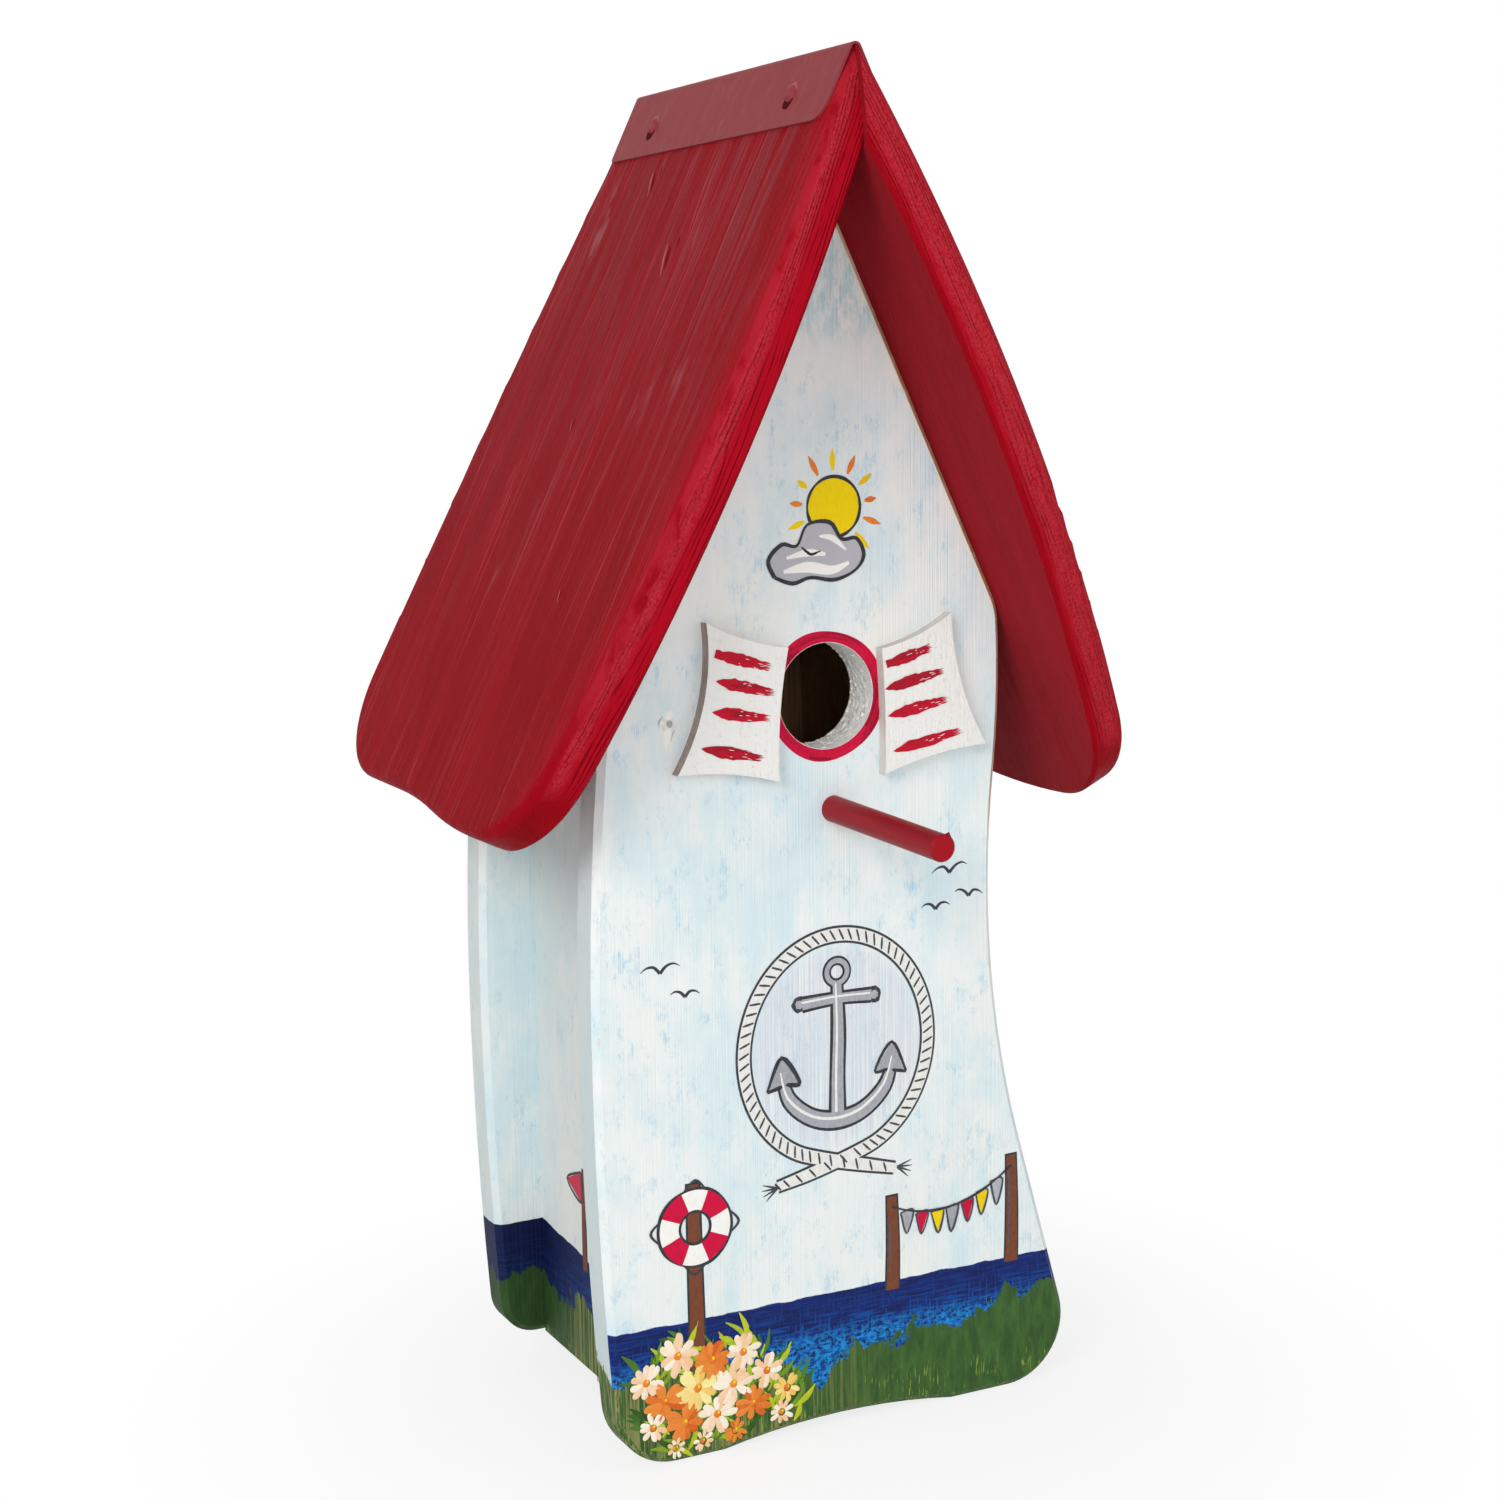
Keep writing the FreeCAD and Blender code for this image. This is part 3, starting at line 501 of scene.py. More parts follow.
def perch_paint():
    """Red dowel: grain along it, and a brighter sawn end."""
    p = Paint("perch_paint", roughness=0.40, specular=0.10)
    grain = p.noise((1.3, 0.02, 1.3), detail=4)
    end = p.ramp(p.facing((0, -1, 0)), 0.7, 0.9)
    colour = p.mix(PERCH_RED, "#7E1A22", p.ramp(grain, 0.45, 0.7))
    colour = p.mix(colour, "#A00C1C", end, 0.7)
    p.bump(grain, 0.2, 0.6)
    return p.finish(colour)


def bare_wood():
    """Planed floor board whose grain runs from side to side."""
    p = Paint("bare_wood", roughness=0.7, specular=0.3)
    across = p.joined(p.y, p.z, p.x)
    colour = bare_wood_colour(p, across)
    p.bump(p.noise((2.0, 2.0, 0.02), across, detail=3), 0.2, 0.7)
    return p.finish(colour)


def plated_steel():
    """Dull zinc on the turn button and its screw."""
    p = Paint("plated_steel", roughness=0.35)
    p.shader.inputs["Metallic"].default_value = 1.0
    smear = p.noise((0.4, 0.4, 0.4), detail=4)
    p.bump(p.noise((2.5, 2.5, 2.5), detail=2), 0.04, 0.6)
    return p.finish(p.mix(STEEL, "#8E8C86", p.ramp(smear, 0.4, 0.7)))


def artist_paint(name, light, dark, roughness=0.5, specular=0.12):
    """Acrylic line or fill: the shade of each stroke runs between two tones."""
    p = Paint(name, roughness=roughness, specular=specular)
    shade = p.add("ShaderNodeAttribute", attribute_name="shade").outputs["Fac"]
    dry = p.noise((0.9, 0.9, 0.5), detail=5, roughness=0.7)
    tone = p.linear(p.minus(dry, 0.5), 0.9, shade)
    p.bump(dry, 0.12, 0.6)
    return p.finish(p.mix(light, dark, p.ramp(tone, 0.0, 1.0)))


# ---- the CAD nodes' finish
def dress(material, *names):
    for name in names:
        slots = nodes[name].data.materials
        for index in range(len(slots)):
            slots[index] = material


perch = perch_paint()
dress(house_paint(), "front_panel", "back_panel", "left_side_wall", "right_side_wall",
      "front_panel_nails", "back_panel_nails", "floor_pivot_nails")
dress(roof_paint("roof_paint_left", -1), "left_roof_board", "left_roof_nails")
dress(roof_paint("roof_paint_right", 1), "right_roof_board", "right_roof_nails")
dress(cap_paint(), "ridge_cap", "left_ridge_cap_nails", "right_ridge_cap_nails")
dress(shutter_paint(), "left_shutter", "right_shutter")
dress(perch, "perch_dowel")
dress(bare_wood(), "floor_board")
dress(plated_steel(), "turn_button", "turn_button_screw")


# ---- painted strokes
def on_front(u, v, lift):
    return mm(u, -lift, v)


def on_shutter(u, v, lift):
    return mm(u, SHUTTER_Y - lift, v)


def on_left_wall(u, v, lift):
    return mm(WALL_OUT - lift, u, v)


def on_left_roof(u, v, lift):
    """Top of the left board: u runs back and v runs down the slope."""
    return mm(RIDGE_X - math.sin(SLOPE) * v - math.cos(SLOPE) * lift, u,
              ROOF_TOP - math.cos(SLOPE) * v + math.sin(SLOPE) * lift)


def on_cap(u, v, lift):
    return on_left_roof(u, v, CAP_SHEET + lift)


def in_bore(u, v, lift):
    """Wall of the entrance: u runs round it in millimetres and v runs back into it."""
    reach = HOLE_R + 0.05 - lift
    return mm(reach * math.cos(u / HOLE_R), v, reach * math.sin(u / HOLE_R))


def at_perch_tip(u, v, lift):
    """Across and up from the middle of the perch's end, and so far behind that end."""
    return mm((perch_low.x + perch_high.x) / 2 + u, perch_low.y + lift,
              perch_low.z + PERCH_R + v)


def polar(u, v, radius, angle):
    return u + radius * math.cos(angle), v + radius * math.sin(angle)


def circle(u, v, radius, count=16):
    return [polar(u, v, radius, 2 * math.pi * i / count) for i in range(count)]


def about(centre, points):
    """The same points, with (u, v) measured from a centre; other values are kept."""
    return [(centre[0] + u, centre[1] + v, *rest) for u, v, *rest in points]


def smooth_path(path, steps):
    """Points along a Catmull-Rom curve through the path; every value is carried along."""
    if len(path) < 3:
        path = [path[0], tuple((a + b) / 2 for a, b in zip(path[0], path[-1])), path[-1]]
    ends = [path[0]] + list(path) + [path[-1]]
    run = []
    for p0, p1, p2, p3 in zip(ends, ends[1:], ends[2:], ends[3:]):
        for step in range(steps):
            t = step / steps
            run.append(tuple(0.5 * (2 * b + (c - a) * t + (2 * a - 5 * b + 4 * c - d) * t * t
                                    + (3 * b - a - 3 * c + d) * t ** 3)
                             for a, b, c, d in zip(p0, p1, p2, p3)))
    run.append(tuple(path[-1]))
    return run


class Layer:
    """Thin coats of paint on one surface, gathered into one mesh."""

    def __init__(self, surface=on_front):
        self.surface = surface
        self.points = []
        self.faces = []
        self.shades = []

    def face(self, shade, *corners):
        self.faces.append(corners)
        self.shades.append(shade)

    def ribbon(self, path, lift=0.10, shade=0.3, steps=5, base=0.02):
        """Brush stroke along (u, v, width) points, thicker in its middle than at its sides."""
        run = smooth_path(path, steps)
        start = len(self.points)
        for i, (u, v, width) in enumerate(run):
            before = run[max(i - 1, 0)]
            after = run[min(i + 1, len(run) - 1)]
            du, dv = after[0] - before[0], after[1] - before[1]
            length = math.hypot(du, dv) or 1.0
            su, sv = -dv / length * width / 2.0, du / length * width / 2.0
            self.points += [self.surface(u + su, v + sv, base), self.surface(u, v, lift),
                            self.surface(u - su, v - sv, base)]
        for i in range(len(run) - 1):
            a = start + 3 * i
            self.face(shade, a, a + 1, a + 4, a + 3)
            self.face(shade, a + 1, a + 2, a + 5, a + 4)

    def fill(self, outline, lift=0.06, shade=0.3):
        """Flat patch of paint inside a closed outline of (u, v) points."""
        start = len(self.points)
        self.points += [self.surface(u, v, lift) for u, v in outline]
        flat = [Vector((u, v, 0)) for u, v in outline]
        for triangle in tessellate_polygon([flat]):
            self.face(shade, *(start + i for i in triangle))

    def ring(self, u, v, inner, outer, wobble=0.0, lift=0.10, base=0.03, shade=0.3,
             first=0.0, last=360.0, count=72):
        """Painted ring, or part of one, whose outer border is slightly uneven."""
        start = len(self.points)
        phase = [rng.uniform(0, 2 * math.pi) for _ in range(3)]
        for i in range(count + 1):
            angle = math.radians(first + (last - first) * i / count)
            uneven = sum(math.sin(angle * k + phase[j]) for j, k in enumerate((2, 3, 5)))
            border = outer + uneven * wobble / 3.0
            for radius, height in ((inner, base), ((inner + border) / 2, lift), (border, base)):
                self.points.append(self.surface(*polar(u, v, radius, angle), height))
        for i in range(count):
            a = start + 3 * i
            self.face(shade, a, a + 3, a + 4, a + 1)
            self.face(shade, a + 1, a + 4, a + 5, a + 2)

    def outline(self, points, width=1.1, lift=0.16, shade=0.7, closed=True):
        """Hand-drawn line round a shape: its width swells and thins as it goes."""
        path = list(points) + ([points[0]] if closed else [])
        self.ribbon([(u, v, width * rng.uniform(0.65, 1.3)) for u, v in path],
                    lift, shade, base=lift - 0.05)

    def dome(self, u, v, radius, height, shade=0.3, count=14):
        """Small blob of paint or filler with an uneven edge."""
        start = len(self.points)
        for share, rise in ((1.0, 0.02), (0.75, 0.6 * height), (0.4, 0.9 * height)):
            for i in range(count):
                angle = 2 * math.pi * i / count
                reach = radius * share * rng.uniform(0.86, 1.12)
                self.points.append(self.surface(*polar(u, v, reach, angle), rise))
        self.points.append(self.surface(u, v, height))
        for i in range(count):
            j = (i + 1) % count
            for level in (start, start + count):
                self.face(shade, level + i, level + j, level + count + j, level + count + i)
            self.face(shade, start + 2 * count + i, start + 2 * count + j, start + 3 * count)

    def build(self, name, material, slot="panel_paint", body=HOUSE):
        mesh = bpy.data.meshes.new(name)
        mesh.from_pydata(self.points, [], self.faces)
        attribute = mesh.attributes.new("shade", "FLOAT", "FACE")
        attribute.data.foreach_set("value", self.shades)
        mesh.materials.append(material)
        mesh.polygons.foreach_set("use_smooth", [True] * len(mesh.polygons))
        piece = add_object(name, mesh)
        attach(piece, body)


rng = random.Random(7)
# light and dark tone of each paint, then its roughness and specular level where it has its own
PAINTS = {
    "line": (LINE_GREY, LINE_BLACK),
    "red": ("#D01040", "#980A28", 0.35),
    "stroke": (STROKE_RED, "#8C1A24"),
    "white": ("#F2F1EC", "#CFCFCC"),
    "grey": ("#B4B5BC", "#85868F"),
    "yellow": ("#F2D60A", "#D9A514"),
    "orange": ("#E88A3A", "#D0571C"),
    "cream": ("#F8EFDC", "#F0BE8C", 0.4),
    "pale_yellow": ("#F6E9A0", "#EDB84A", 0.4),
    "brown": ("#7E4A34", "#4E2B20"),
    "blade": ("#4F7A2C", "#27481E"),
    "lime": ("#B9C62A", "#5F8A2A"),
    "filler_shade": ("#C9D0D0", "#A3ABAC"),
    # dark red for the painted shade in the dents round the tacks and in the roof's slits
    "tear": ("#7A0E18", "#4A0A12", 0.6, 0.01),
    "burr": ("#A8565B", "#8A2E36"),
}
paints = {name: artist_paint(name + "_paint", *look) for name, look in PAINTS.items()}

entrance = Layer()
entrance.ring(0, 0, HOLE_R + 0.1, HOLE_R + 3.7, wobble=0.5, lift=0.22, count=96)
for _ in range(40):
    reach, start = HOLE_R + rng.uniform(0.3, 2.6), rng.uniform(0, 360)
    entrance.ring(0, 0, reach, reach + rng.uniform(0.4, 0.9), lift=0.34, base=0.22,
                  shade=rng.uniform(-0.3, 1.3), first=start, last=start + rng.uniform(14, 46),
                  count=8)
entrance.build("entrance_ring", paints["red"], "perch_paint")

lumps = Layer(in_bore)
for k in range(64):
    lumps.dome(2 * math.pi * HOLE_R * k / 64 + rng.uniform(-0.6, 0.6), FRONT_BACK - 0.9,
               rng.uniform(0.5, 1.0), rng.uniform(0.10, 0.55), rng.uniform(0.1, 0.9), 8)
for _ in range(90):
    lumps.dome(HOLE_R * math.radians(rng.gauss(-25, 32)), rng.uniform(2.0, FRONT_BACK - 2.0),
               rng.uniform(0.5, 1.3), rng.uniform(0.15, 0.45), rng.uniform(0.0, 1.0), 8)
lumps.build("entrance_plaster", paints["white"])


def louvre(layer, gaps, tip, end, thickness, blunt):
    """One painted louvre: a fat stroke that ends in bristle marks, with thin gaps in it."""
    length = math.dist(tip, end)
    du, dv = (end[0] - tip[0]) / length, (end[1] - tip[1]) / length

    def along(path):
        return about(tip, [(du * s - dv * t, dv * s + du * t, *rest) for s, t, *rest in path])

    count = 16
    upper, lower = [], []
    for i in range(count + 1):
        t = i / count
        swell = min(1.0, t / 0.28) ** 0.7 * (1.0 - 0.45 * max(0.0, (t - 0.55) / 0.45))
        if blunt:
            swell = max(swell, 0.72)
        half = thickness / 2 * max(swell, 0.04)
        upper.append((t * length * 0.95, half * rng.uniform(0.84, 1.12)))
        lower.append((t * length * 0.95, -half * rng.uniform(0.84, 1.12)))
    bristles = []
    tail = upper[-1][1]
    for k in range(9):
        reach = length * (rng.uniform(0.96, 1.05) if k % 2 == 0 else rng.uniform(0.86, 0.93))
        bristles.append((reach, tail * (0.8 - 0.2 * k)))
    layer.fill(along(upper + bristles + lower[::-1]), 0.16, rng.uniform(0.15, 0.6))
    for target, number, starts, spread, runs, widths, lift, base, darkest, steps in (
            (layer, 5, (0.15, 0.45), 0.3, (0.25, 0.45), (0.2, 0.7, 0.15), 0.32, 0.16, 0.9, 3),
            (gaps, 7, (0.40, 0.88), 0.4, (0.03, 0.09), (0.06, 0.20, 0.06), 0.36, 0.30, 0.6, 2)):
        for _ in range(number):
            start, across = rng.uniform(*starts), rng.uniform(-spread, spread) * thickness
            stop = start + rng.uniform(*runs)
            path = [(length * t, across, width)
                    for t, width in zip((start, (start + stop) / 2, stop), widths)]
            target.ribbon(along(path), lift, rng.uniform(0.0, darkest), steps=steps, base=base)


burr = Layer(at_perch_tip)
burr.points += [burr.surface(*corner) for corner in (
    (-0.2, 3.6, 0.4), (3.1, 2.1, 0.4), (1.4, 3.0, 3.4), (2.3, 4.4, 0.9))]
for corners in ((0, 1, 3), (1, 2, 3), (2, 0, 3), (0, 2, 1)):
    burr.face(0.4, *corners)
burr.build("perch_burr", perch, "perch_paint")
louvres, louvre_gaps = Layer(on_shutter), Layer(on_shutter)
for number, (tip, end) in enumerate((
        ((-38.6, 15.3), (-20.6, 10.2)), ((-38.4, 7.3), (-19.4, 2.6)),
        ((-39.8, -1.6), (-21.2, -4.8)), ((-43.4, -12.0), (-23.6, -16.4)),
        ((18.4, 8.6), (34.2, 12.9)), ((18.0, 1.2), (38.2, 5.5)),
        ((19.0, -7.0), (40.0, -3.2)), ((20.8, -17.8), (44.8, -13.2)))):
    louvre(louvres, louvre_gaps, tip, end, thickness=3.6, blunt=number in (0, 4))
louvres.build("shutter_louvres", paints["stroke"], "perch_paint")
louvre_gaps.build("shutter_louvre_gaps", paints["white"], "shutter_paint")

# ---- motifs: sun and cloud
(lines, whites, greys, yellows, oranges, reds, browns, creams, pale_yellows, blades, limes,
 fillers, filler_shades, hole_shade_dots) = (Layer() for _ in range(14))

yellows.fill(circle(*SUN, 8.6, 30), 0.08, 0.15)
lines.outline(circle(*SUN, 8.9), 0.9)
for k in range(13):
    angle = 2 * math.pi * (k + 0.3) / 13
    inner, outer = 10.6, rng.uniform(14.5, 17.5)
    run = [(*polar(*SUN, r, angle), w)
           for r, w in ((inner, 0.7), ((inner + outer) / 2, 1.9), (outer, 0.3))]
    (yellows if k % 2 else oranges).ribbon(run, 0.14, rng.uniform(0.1, 0.6))
CLOUD = [(-17, 36), (-19, 41), (-14.5, 45.5), (-9.5, 45), (-6, 51), (1.5, 51.5), (5.5, 46.5),
         (10.5, 46.5), (13, 41.5), (10, 37.0), (3, 34.5), (-5, 35.5), (-11, 34)]
greys.fill(smooth_path(CLOUD + CLOUD[:1], 5)[:-1], 0.17, 0.0)
for run in (((-14, 37.5, 1), (-6, 38.6, 3.2), (2, 37.4, 2.6), (8, 39.4, 1)),
            ((-13, 41.5, 0.8), (-6, 42.8, 2.2), (0, 42.2, 1)),
            ((-2, 47.6, 0.6), (2.5, 46.8, 1.8), (7, 43.2, 0.6))):
    whites.ribbon(run, 0.26, 0.1, base=0.18)
lines.outline(CLOUD, 1.1, 0.30)
lines.ribbon([(-8, 44.6, 0.4), (-5, 42.4, 1.0), (-1.6, 43.2, 0.3)], 0.30, 0.8, base=0.24)


# ---- motifs: anchor and rope
def rope(path):
    """Laid rope: a pale stroke on a dark one, with slanting strand marks across it."""
    lines.ribbon([(u, v, w + 1.5) for u, v, w in path], 0.14, 0.6, base=0.08)
    whites.ribbon(path, 0.26, 0.45, base=0.18)
    run = smooth_path(path, 3)
    for (u0, v0, w), (u1, v1, _) in zip(run, run[1:]):
        length = math.hypot(u1 - u0, v1 - v0)
        du, dv = (u1 - u0) / length, (v1 - v0) / length
        slant_u, slant_v = 0.8 * du + dv * 0.42 * w, 0.8 * dv - du * 0.42 * w
        lines.ribbon([(u0 - slant_u, v0 - slant_v, 0.5), (u0, v0, 0.75),
                      (u0 + slant_u, v0 + slant_v, 0.5)], 0.32, 0.5, steps=1, base=0.28)


RING_ACROSS, RING_UP = 32.0, 35.0
hoop = [(RING_ACROSS * math.cos(angle), RING_UP * math.sin(angle), 4.0)
        for angle in (math.radians(-78.0 + 336.0 * k / 21) for k in range(22))]
rope(about(ANCHOR, [(-21.0, -41.0, 3.0), (-9.0, -38.5, 3.8)] + hoop
           + [(6.5, -38.0, 3.8), (20.0, -41.5, 3.0)]))
for side in (-1, 1):
    for spread in (-0.5, -0.15, 0.2, 0.55):
        angle = math.radians(-14) + spread
        tail = [(side * (21.0 + r * math.cos(angle)), -41.4 + r * math.sin(angle), w)
                for r, w in ((0.0, 0.8), (3.0, 0.6), (5.4, 0.2))]
        lines.ribbon(about(ANCHOR, tail), 0.2, 0.5)

for stroke in ([(0, 19.5, 3.0), (0.4, 5, 3.6), (0, -9, 4.0), (0, -21, 4.4)],
               [(-12, 14.6, 3.3), (0, 15.2, 2.9), (12, 14.8, 3.3)],
               [(-19.2, -6, 2.2), (-16.6, -14.6, 4.0), (-9, -21, 4.6), (0, -23, 4.8),
                (9, -21, 4.6), (16.6, -14.6, 4.0), (19.6, -6, 2.2)]):
    placed = about(ANCHOR, stroke)
    wide = [(u, v, w + 1.7 + rng.uniform(-0.25, 0.35)) for u, v, w in placed]
    lines.ribbon(wide, 0.12, 0.7, base=0.06)
    greys.ribbon(placed, 0.22, 0.4, base=0.14)
    whites.ribbon([(u - 0.5, v + 0.6, w * 0.22) for u, v, w in placed], 0.27, 0.4, base=0.2)
for side in (-1, 1):
    fluke = about(ANCHOR, [(side * 24.2, -11), (side * 19.2, -1), (side * 13.2, -9.4),
                           (side * 17.6, -9.6)])
    lines.outline(fluke, 1.3, 0.20)
    greys.fill(fluke, 0.16, 0.5)
    (knob,) = about(ANCHOR, [(side * 13.0, 14.8)])
    lines.dome(*knob, 2.6, 0.2, 0.6)
    greys.dome(*knob, 1.8, 0.3, 0.3)
(shackle,) = about(ANCHOR, [(0, 23.4)])
lines.ring(*shackle, 2.0, 5.0, lift=0.14, shade=0.7)
greys.ring(*shackle, 2.7, 4.3, lift=0.24, base=0.15, shade=0.4)


# ---- motifs: life ring on a post, pennants on a string
def post(path, rim, edge_lift, lift, base):
    """Brown stroke, a little shorter and narrower than the dark one under it."""
    lines.ribbon(path, edge_lift, 0.7)
    inner = [(u, v, w - rim) for u, v, w in path]
    inner[0] = (inner[0][0], inner[0][1] - 0.6, inner[0][2])
    browns.ribbon(inner, lift, 0.3, base=base)


post(about(BUOY, [(-0.5, 14, 5.2), (0, -20, 5.8), (0.6, -47, 6.2)]), 1.4, 0.06, 0.16, 0.08)
lines.ring(*BUOY, 4.6, 12.6, wobble=0.4, lift=0.22, base=0.17, shade=0.7)
whites.ring(*BUOY, 5.5, 11.7, lift=0.40, base=0.26, shade=0.1)
for k in range(4):
    start = 22 + 90 * k
    reds.ring(*BUOY, 5.4, 11.8, wobble=0.2, lift=0.48, base=0.32, shade=0.2, first=start,
              last=start + 46, count=14)
    bow = [(*polar(*BUOY, r, math.radians(start + a)), w)
           for a, r, w in ((50, 12.0, 0.5), (67, 14.6, 0.9), (86, 12.0, 0.5))]
    lines.ribbon(bow, 0.3, 0.6, base=0.2)

POSTS = ((22.0, -158.0, -189.0), (66.0, -151.5, -187.5))
for x, top, foot in POSTS:
    post([(x, top, 4.6), (x + 0.4, (top + foot) / 2, 5.2), (x + 0.2, foot, 5.6)],
         1.2, 0.08, 0.2, 0.1)
    lines.ribbon([(x - 1.0, top - 6, 0.3), (x - 0.6, top - 15, 0.7), (x - 0.9, foot + 6, 0.3)],
                 0.26, 0.3, base=0.2)
(xa, za, _), (xb, zb, _) = POSTS
string = [(xa + (xb - xa) * t, za - 4 + (zb - za) * t - 26 * t * (1 - t))
          for t in (k / 8 for k in range(9))]
lines.outline(string, 0.8, 0.3, closed=False)
for k, (u, v) in enumerate(string[1:-1]):
    drop = 8.0 + rng.uniform(-0.6, 0.8)
    flag = [(u - 2.3, v - 0.5), (u + 2.3, v - 0.2), (u + rng.uniform(-0.5, 0.5), v - drop)]
    (greys, reds, yellows)[k % 3].fill(flag, 0.2, rng.uniform(0.1, 0.5))
    lines.outline(flag, 0.7, 0.28, 0.5)

# ---- motifs: far birds
for u, v, size, tilt in ((43, -58, 1.0, 0.1), (50, -66, 0.8, -0.1), (38, -69, 0.8, 0.0),
                         (-56, -78, 1.0, 0.05), (-48, -86, 0.75, -0.05)):
    for side in (-1, 1):
        wing = [(0, 0, 1.1), (side * 2.0, 2.0, 0.9), (side * 4.4, 2.3 + side * tilt * 6, 0.6),
                (side * 6.4, 1.2 + side * tilt * 9, 0.2)]
        lines.ribbon([(u + a * size, v + b * size, w) for a, b, w in wing], 0.12, 0.6)


# ---- motifs: daisies and grass
def daisy(u, v, radius, petals, tone):
    turn = rng.uniform(0, 1)
    for k in range(petals):
        angle = 2 * math.pi * (k + turn) / petals + rng.uniform(-0.08, 0.08)
        reach = radius * rng.uniform(0.85, 1.1)
        bend = rng.uniform(-0.12, 0.12)
        run = [(*polar(u, v, r, angle + bend * s), w)
               for s, r, w in ((0, 1.2, 0.9), (1, reach * 0.5, radius * 0.34),
                               (2, reach * 0.85, radius * 0.36), (3, reach, 0.5))]
        tone.ribbon(run, 0.42, rng.uniform(0.0, 0.8), steps=3, base=0.2)
    oranges.dome(u, v, radius * 0.26, 0.6, rng.uniform(0.0, 0.6), 10)
    yellows.dome(u + 0.3, v + 0.4, radius * 0.13, 0.7, 0.2, 8)


def leaf(layer, u, v, angle, length, width):
    run = [(u, v, 0.5), (*polar(u, v, 0.5 * length, angle), width),
           (*polar(u, v, length, angle + 0.2), 0.3)]
    layer.ribbon(run, rng.uniform(0.16, 0.26), rng.uniform(0.0, 0.9), steps=3, base=0.1)


# middle (x, z), radius and number of petals
DAISIES = ((-63, -202.5, 5.8, 11), (-52.5, -196.0, 6.6, 12), (-41, -199.5, 6.4, 12),
           (-30.5, -199.0, 5.8, 11), (-57, -209.5, 6.6, 11), (-46, -207.5, 7.2, 12),
           (-34, -208.5, 6.8, 11), (-22.5, -206.5, 5.6, 10), (-61, -217.0, 4.8, 9),
           (-50.5, -217.5, 6.2, 11), (-39.5, -217.0, 6.4, 10), (-27.5, -216.0, 6.0, 10),
           (-15.5, -213.5, 4.6, 9), (-17.5, -221.0, 4.0, 9), (-53.5, -225.0, 3.2, 8),
           (-44.5, -224.6, 3.6, 8), (-33.5, -223.6, 3.8, 9))
TONES = (creams, creams, oranges, creams, oranges, pale_yellows, creams)
for u, v, _, _ in DAISIES:
    for _ in range(9):
        leaf(limes if rng.random() < 0.55 else blades, u + rng.uniform(-4, 6),
             v + rng.uniform(-4, 3), rng.uniform(0.2, 2.7), rng.uniform(6, 11),
             rng.uniform(1.2, 2.4))
for number, (u, v, radius, petals) in enumerate(DAISIES):
    daisy(u, v, radius, petals, TONES[number % len(TONES)])

# ---- maker's traces, with painted shade: filled nail, dots, torn paint round tacks and roof nails
NAIL = (-52.1, -5.0)
fillers.dome(*NAIL, 2.3, 0.5, 0.5)
for du, dv, width in ((0.5, 4.6, 2.4), (-0.9, -7.4, 2.0), (1.0, -4.8, 1.7), (-2.9, 1.4, 1.5),
                      (3.0, -0.9, 1.4)):
    lick = about(NAIL, [(0, 0, 2.4), (0.6 * du, 0.6 * dv, width), (du, dv, 0.3)])
    fillers.ribbon(lick, 0.40, rng.uniform(-0.2, 0.5))
# painted shade: grey in the filler's dimpled middle and in the hollows beside its raised edges
filler_shades.dome(NAIL[0] + 0.3, NAIL[1] + 0.3, 1.5, 0.72, 0.9, 9)
for run in (((-1.8, 2.6, 0.2), (-2.7, 1.2, 0.5), (-2.9, 0.0, 0.2)),
            ((2.2, -1.6, 0.2), (1.2, -3.0, 0.5), (0.9, -4.6, 0.2))):
    filler_shades.ribbon(about(NAIL, run), 0.50, 0.3, base=0.30)
# painted shade: black dots for the dark inside of small nail holes
hole_shade_dots.dome(57.9, -199.0, 0.8, 0.06, 0.9, 8)
hole_shade_dots.dome(-19.4, -132.5, 0.45, 0.06, 0.9, 6)

wall_lines, wall_browns, wall_reds = (Layer(on_left_wall) for _ in range(3))
wall_lines.ribbon([(55.0, -153.0, 3.2), (55.4, -170.0, 3.8), (55.2, -187.0, 4.2)], 0.08, 0.7)
wall_browns.ribbon([(55.0, -153.6, 2.1), (55.4, -170.0, 2.6), (55.2, -186.4, 3.0)], 0.18, 0.3,
                   base=0.1)
pennant = [(57.0, -154.5), (68.5, -159.6), (57.0, -164.5)]
wall_reds.fill(pennant, 0.18, 0.3)
wall_lines.outline(pennant, 0.8, 0.26, 0.5)
# painted shade: dark red crescents in the dents below the cap's tack heads, with lighter torn
# burrs round them
tack_dent_shade, tack_burrs = Layer(on_cap), Layer(on_cap)
for y in CAP_TACKS:
    tack_dent_shade.ribbon(about((y, TACK_SLOPE), [(1.6, 0.4, 0.8), (0.7, 3.0, 2.6), (-1.4, 3.6, 2.2),
                                              (-3.0, 1.6, 0.6)]), 0.05, 0.9)
    tack_burrs.ribbon(about((y, TACK_SLOPE), [(2.6, -2.4, 0.4), (-0.4, -3.4, 1.0),
                                              (-3.2, -1.2, 0.5)]), 0.12, 0.3)
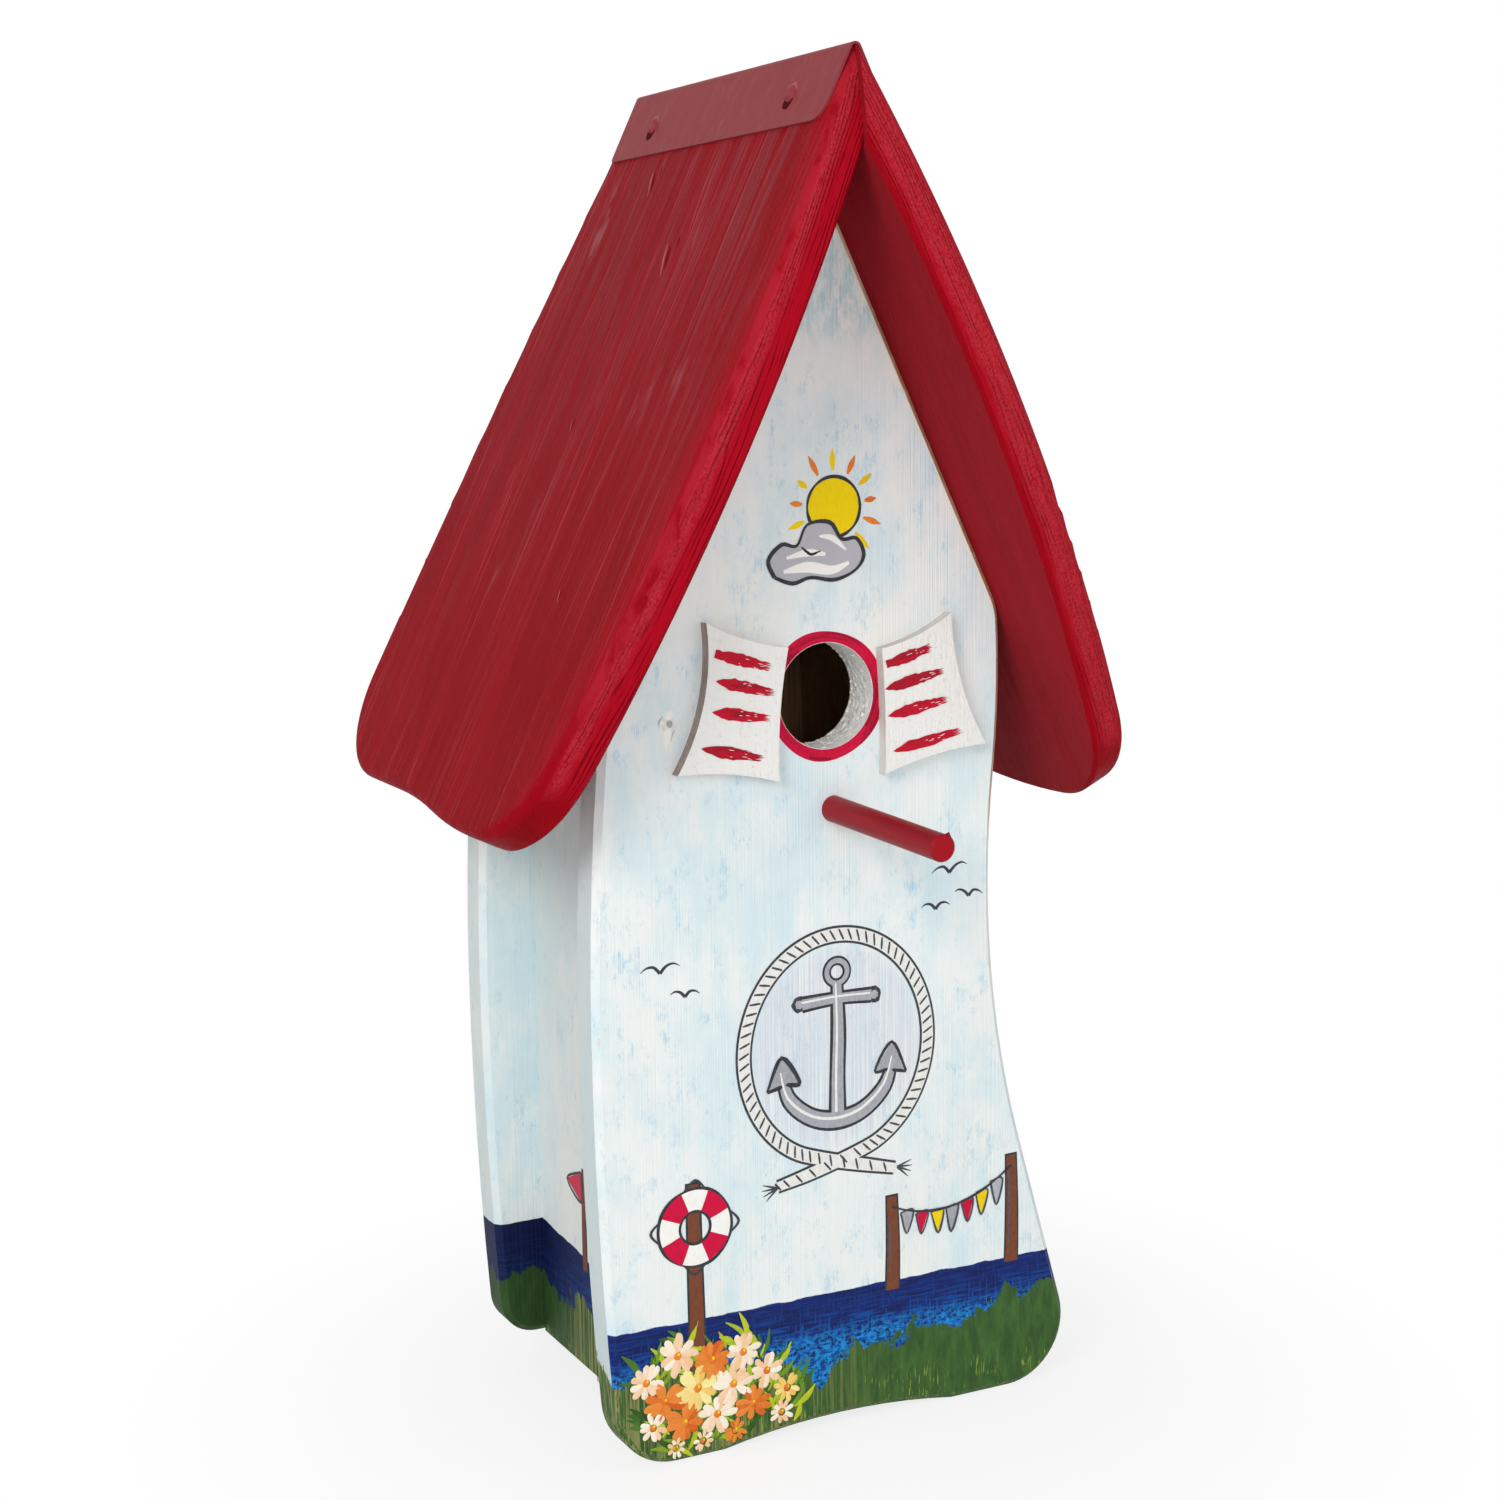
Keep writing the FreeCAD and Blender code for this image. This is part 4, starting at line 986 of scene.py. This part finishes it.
# small torn spots on the left board: dark red dashes of painted shade in their slits, with
# lighter burrs beside them
roof_slit_shade, roof_burrs = Layer(on_left_roof), Layer(on_left_roof)
for y, run, s in ((41.3, 62.7, 1.5), (76.6, 34.9, 1.2), (60.5, 118.0, 0.5), (18.0, 171.0, 0.5)):
    for layer, tear, lift, shade in (       # s is the size of the torn spot
            (roof_slit_shade, [(s, -2.6 * s, 0.2), (0, 0, 1.2 * s), (-1.2 * s, 2.8 * s, 0.3)],
             0.05, 0.4),
            (roof_slit_shade, [(-1.8 * s, -4.6 * s, 0.2), (-2.2 * s, -3.0 * s, 0.7 * s),
                          (-2.4 * s, -s, 0.2)], 0.05, 0.3),
            (roof_burrs, [(2.4 * s, -3.0 * s, 0.3), (1.6 * s, 0, 0.8 * s),
                          (-0.4 * s, 4.4 * s, 0.3)], 0.15, 0.2)):
        layer.ribbon(about((y, run), tear), lift, shade)

PIECES = (
    (wall_lines, "wall_post_lines", "line", "wall_paint"),
    (wall_browns, "wall_post", "brown", "wall_paint"),
    (wall_reds, "wall_pennant", "red", "wall_paint"),
    (tack_dent_shade, "tack_dent_shade", "tear", "cap_paint"),
    (tack_burrs, "tack_burrs", "burr", "cap_paint"),
    (roof_slit_shade, "roof_slit_shade", "tear", "roof_paint"),
    (roof_burrs, "roof_burrs", "burr", "roof_paint"),
    (lines, "drawn_lines", "line"),
    (whites, "white_strokes", "white"),
    (greys, "grey_strokes", "grey"),
    (yellows, "yellow_strokes", "yellow"),
    (oranges, "orange_strokes", "orange"),
    (reds, "red_strokes", "red", "perch_paint"),
    (browns, "brown_strokes", "brown"),
    (creams, "cream_petals", "cream"),
    (pale_yellows, "pale_yellow_petals", "pale_yellow"),
    (blades, "green_leaves", "blade"),
    (limes, "lime_leaves", "lime"),
    (fillers, "nail_filler", "white"),
    (filler_shades, "nail_filler_shade", "filler_shade"),
    (hole_shade_dots, "nail_hole_shade", "line"),
)
for layer, name, paint, *slot in PIECES:
    layer.build(name, paints[paint], *slot)


# ---- stage, light and camera
FLOOR_REACH = 4.0                      # metres each way
FLOOR_GAP = 0.05                       # millimetres under the feet
SHADOW_MIDDLE = (10.0, 40.0)           # (x, y)
SHADOW_FADE = (70.0, 240.0)            # where the shadow begins to fade and where it is gone
WORLD_LIGHT = 0.46
KEY_LIGHT = 9.0
SIDE_LIGHT = 17.0
FILL_LIGHT = 3.0
CAMERA_PLACE = (-0.3460, -0.6310, 0.0923)
CAMERA_TURNS = (26.92, 8.565, -0.684)
LENS = 58.44


def paper():
    """White ground: it takes the soft shadow near the object and is plain white beyond.

    It is clear from underneath, so that the hatch and the turn button can be seen there."""
    p = Paint("floor_paper", roughness=1.0, specular=0.0)
    middle_x, middle_y = SHADOW_MIDDLE
    from_middle = p.math("SQRT", p.squares(p.minus(p.x, middle_x), p.minus(p.y, middle_y)))
    share = p.times(p.sees_background(), p.linear(p.ramp(from_middle, *SHADOW_FADE), 0.20, 0.80))
    white = p.add("ShaderNodeEmission").outputs[0]
    p.shader.inputs["Base Color"].default_value = (0.88, 0.88, 0.88, 1)
    mixer = p.add("ShaderNodeMixShader", {0: share, 1: p.shader.outputs[0], 2: white})
    underneath = p.add("ShaderNodeNewGeometry").outputs["Backfacing"]
    clear = p.add("ShaderNodeBsdfTransparent").outputs[0]
    ground = p.add("ShaderNodeMixShader", {0: underneath, 1: mixer.outputs[0], 2: clear})
    p.tree.links.new(ground.outputs[0], p.tree.nodes["Material Output"].inputs[0])
    return p.material


def make_floor(size):
    """Square of paper just under the feet, reaching so many metres each way."""
    mesh = bpy.data.meshes.new("floor")
    z = (FEET - FLOOR_GAP) * MM
    mesh.from_pydata([(-size, -size, z), (size, -size, z), (size, size, z), (-size, size, z)],
                     [], [(0, 1, 2, 3)])
    mesh.materials.append(paper())
    floor = add_object("floor", mesh)


def make_world(strength):
    """White surroundings: a white background, and an even light at a plain level."""
    world = bpy.data.worlds.new("studio")
    bpy.context.scene.world = world
    world.use_nodes = True
    tree = world.node_tree
    background = tree.nodes["Background"]
    background.inputs["Color"].default_value = (1, 1, 1, 1)
    path = tree.nodes.new("ShaderNodeLightPath").outputs
    level = strength
    for ray in ("Is Camera Ray", "Is Glossy Ray", "Is Transmission Ray"):
        step = tree.nodes.new("ShaderNodeMapRange")
        step.inputs["To Max"].default_value = 1.0
        tree.links.new(path[ray], step.inputs["Value"])
        if isinstance(level, float):
            step.inputs["To Min"].default_value = level
        else:
            tree.links.new(level, step.inputs["To Min"])
        level = step.outputs["Result"]
    tree.links.new(level, background.inputs["Strength"])


def make_lamp(name, place, target, size, power):
    data = bpy.data.lights.new(name, "AREA")
    data.shape = "DISK"
    data.size = size
    data.energy = power
    lamp = add_object(name, data)
    lamp.location = place
    lamp.rotation_euler = (Vector(target) - Vector(place)).to_track_quat("-Z", "Y").to_euler()


def make_camera(place, turns, lens):
    """Camera at a place, turned to the right, dipped and rolled by so many degrees."""
    yaw, pitch, roll = (math.radians(turn) for turn in turns)
    forward = Vector((math.sin(yaw) * math.cos(pitch), math.cos(yaw) * math.cos(pitch),
                      -math.sin(pitch)))
    right = Vector((math.cos(yaw), -math.sin(yaw), 0))
    up = right.cross(forward)
    right, up = (right * math.cos(roll) + up * math.sin(roll),
                 up * math.cos(roll) - right * math.sin(roll))
    data = bpy.data.cameras.new("camera")
    data.lens = lens
    data.sensor_width = 36.0
    data.clip_start = 0.01
    camera = add_object("camera", data)
    turn = Matrix((right, up, -forward)).transposed().to_4x4()
    camera.matrix_world = Matrix.Translation(place) @ turn
    bpy.context.scene.camera = camera


make_floor(FLOOR_REACH)
make_world(WORLD_LIGHT)
make_lamp("key", (-0.35, -1.85, 0.35), (0, 0, -0.02), 1.0, KEY_LIGHT)
make_lamp("side", (-1.45, -1.0, 0.90), (0, 0, -0.05), 0.9, SIDE_LIGHT)
make_lamp("fill", (1.4, -1.3, 0.6), (0, 0, 0), 1.2, FILL_LIGHT)
make_camera(CAMERA_PLACE, CAMERA_TURNS, LENS)
bpy.context.scene.view_settings.view_transform = "Standard"
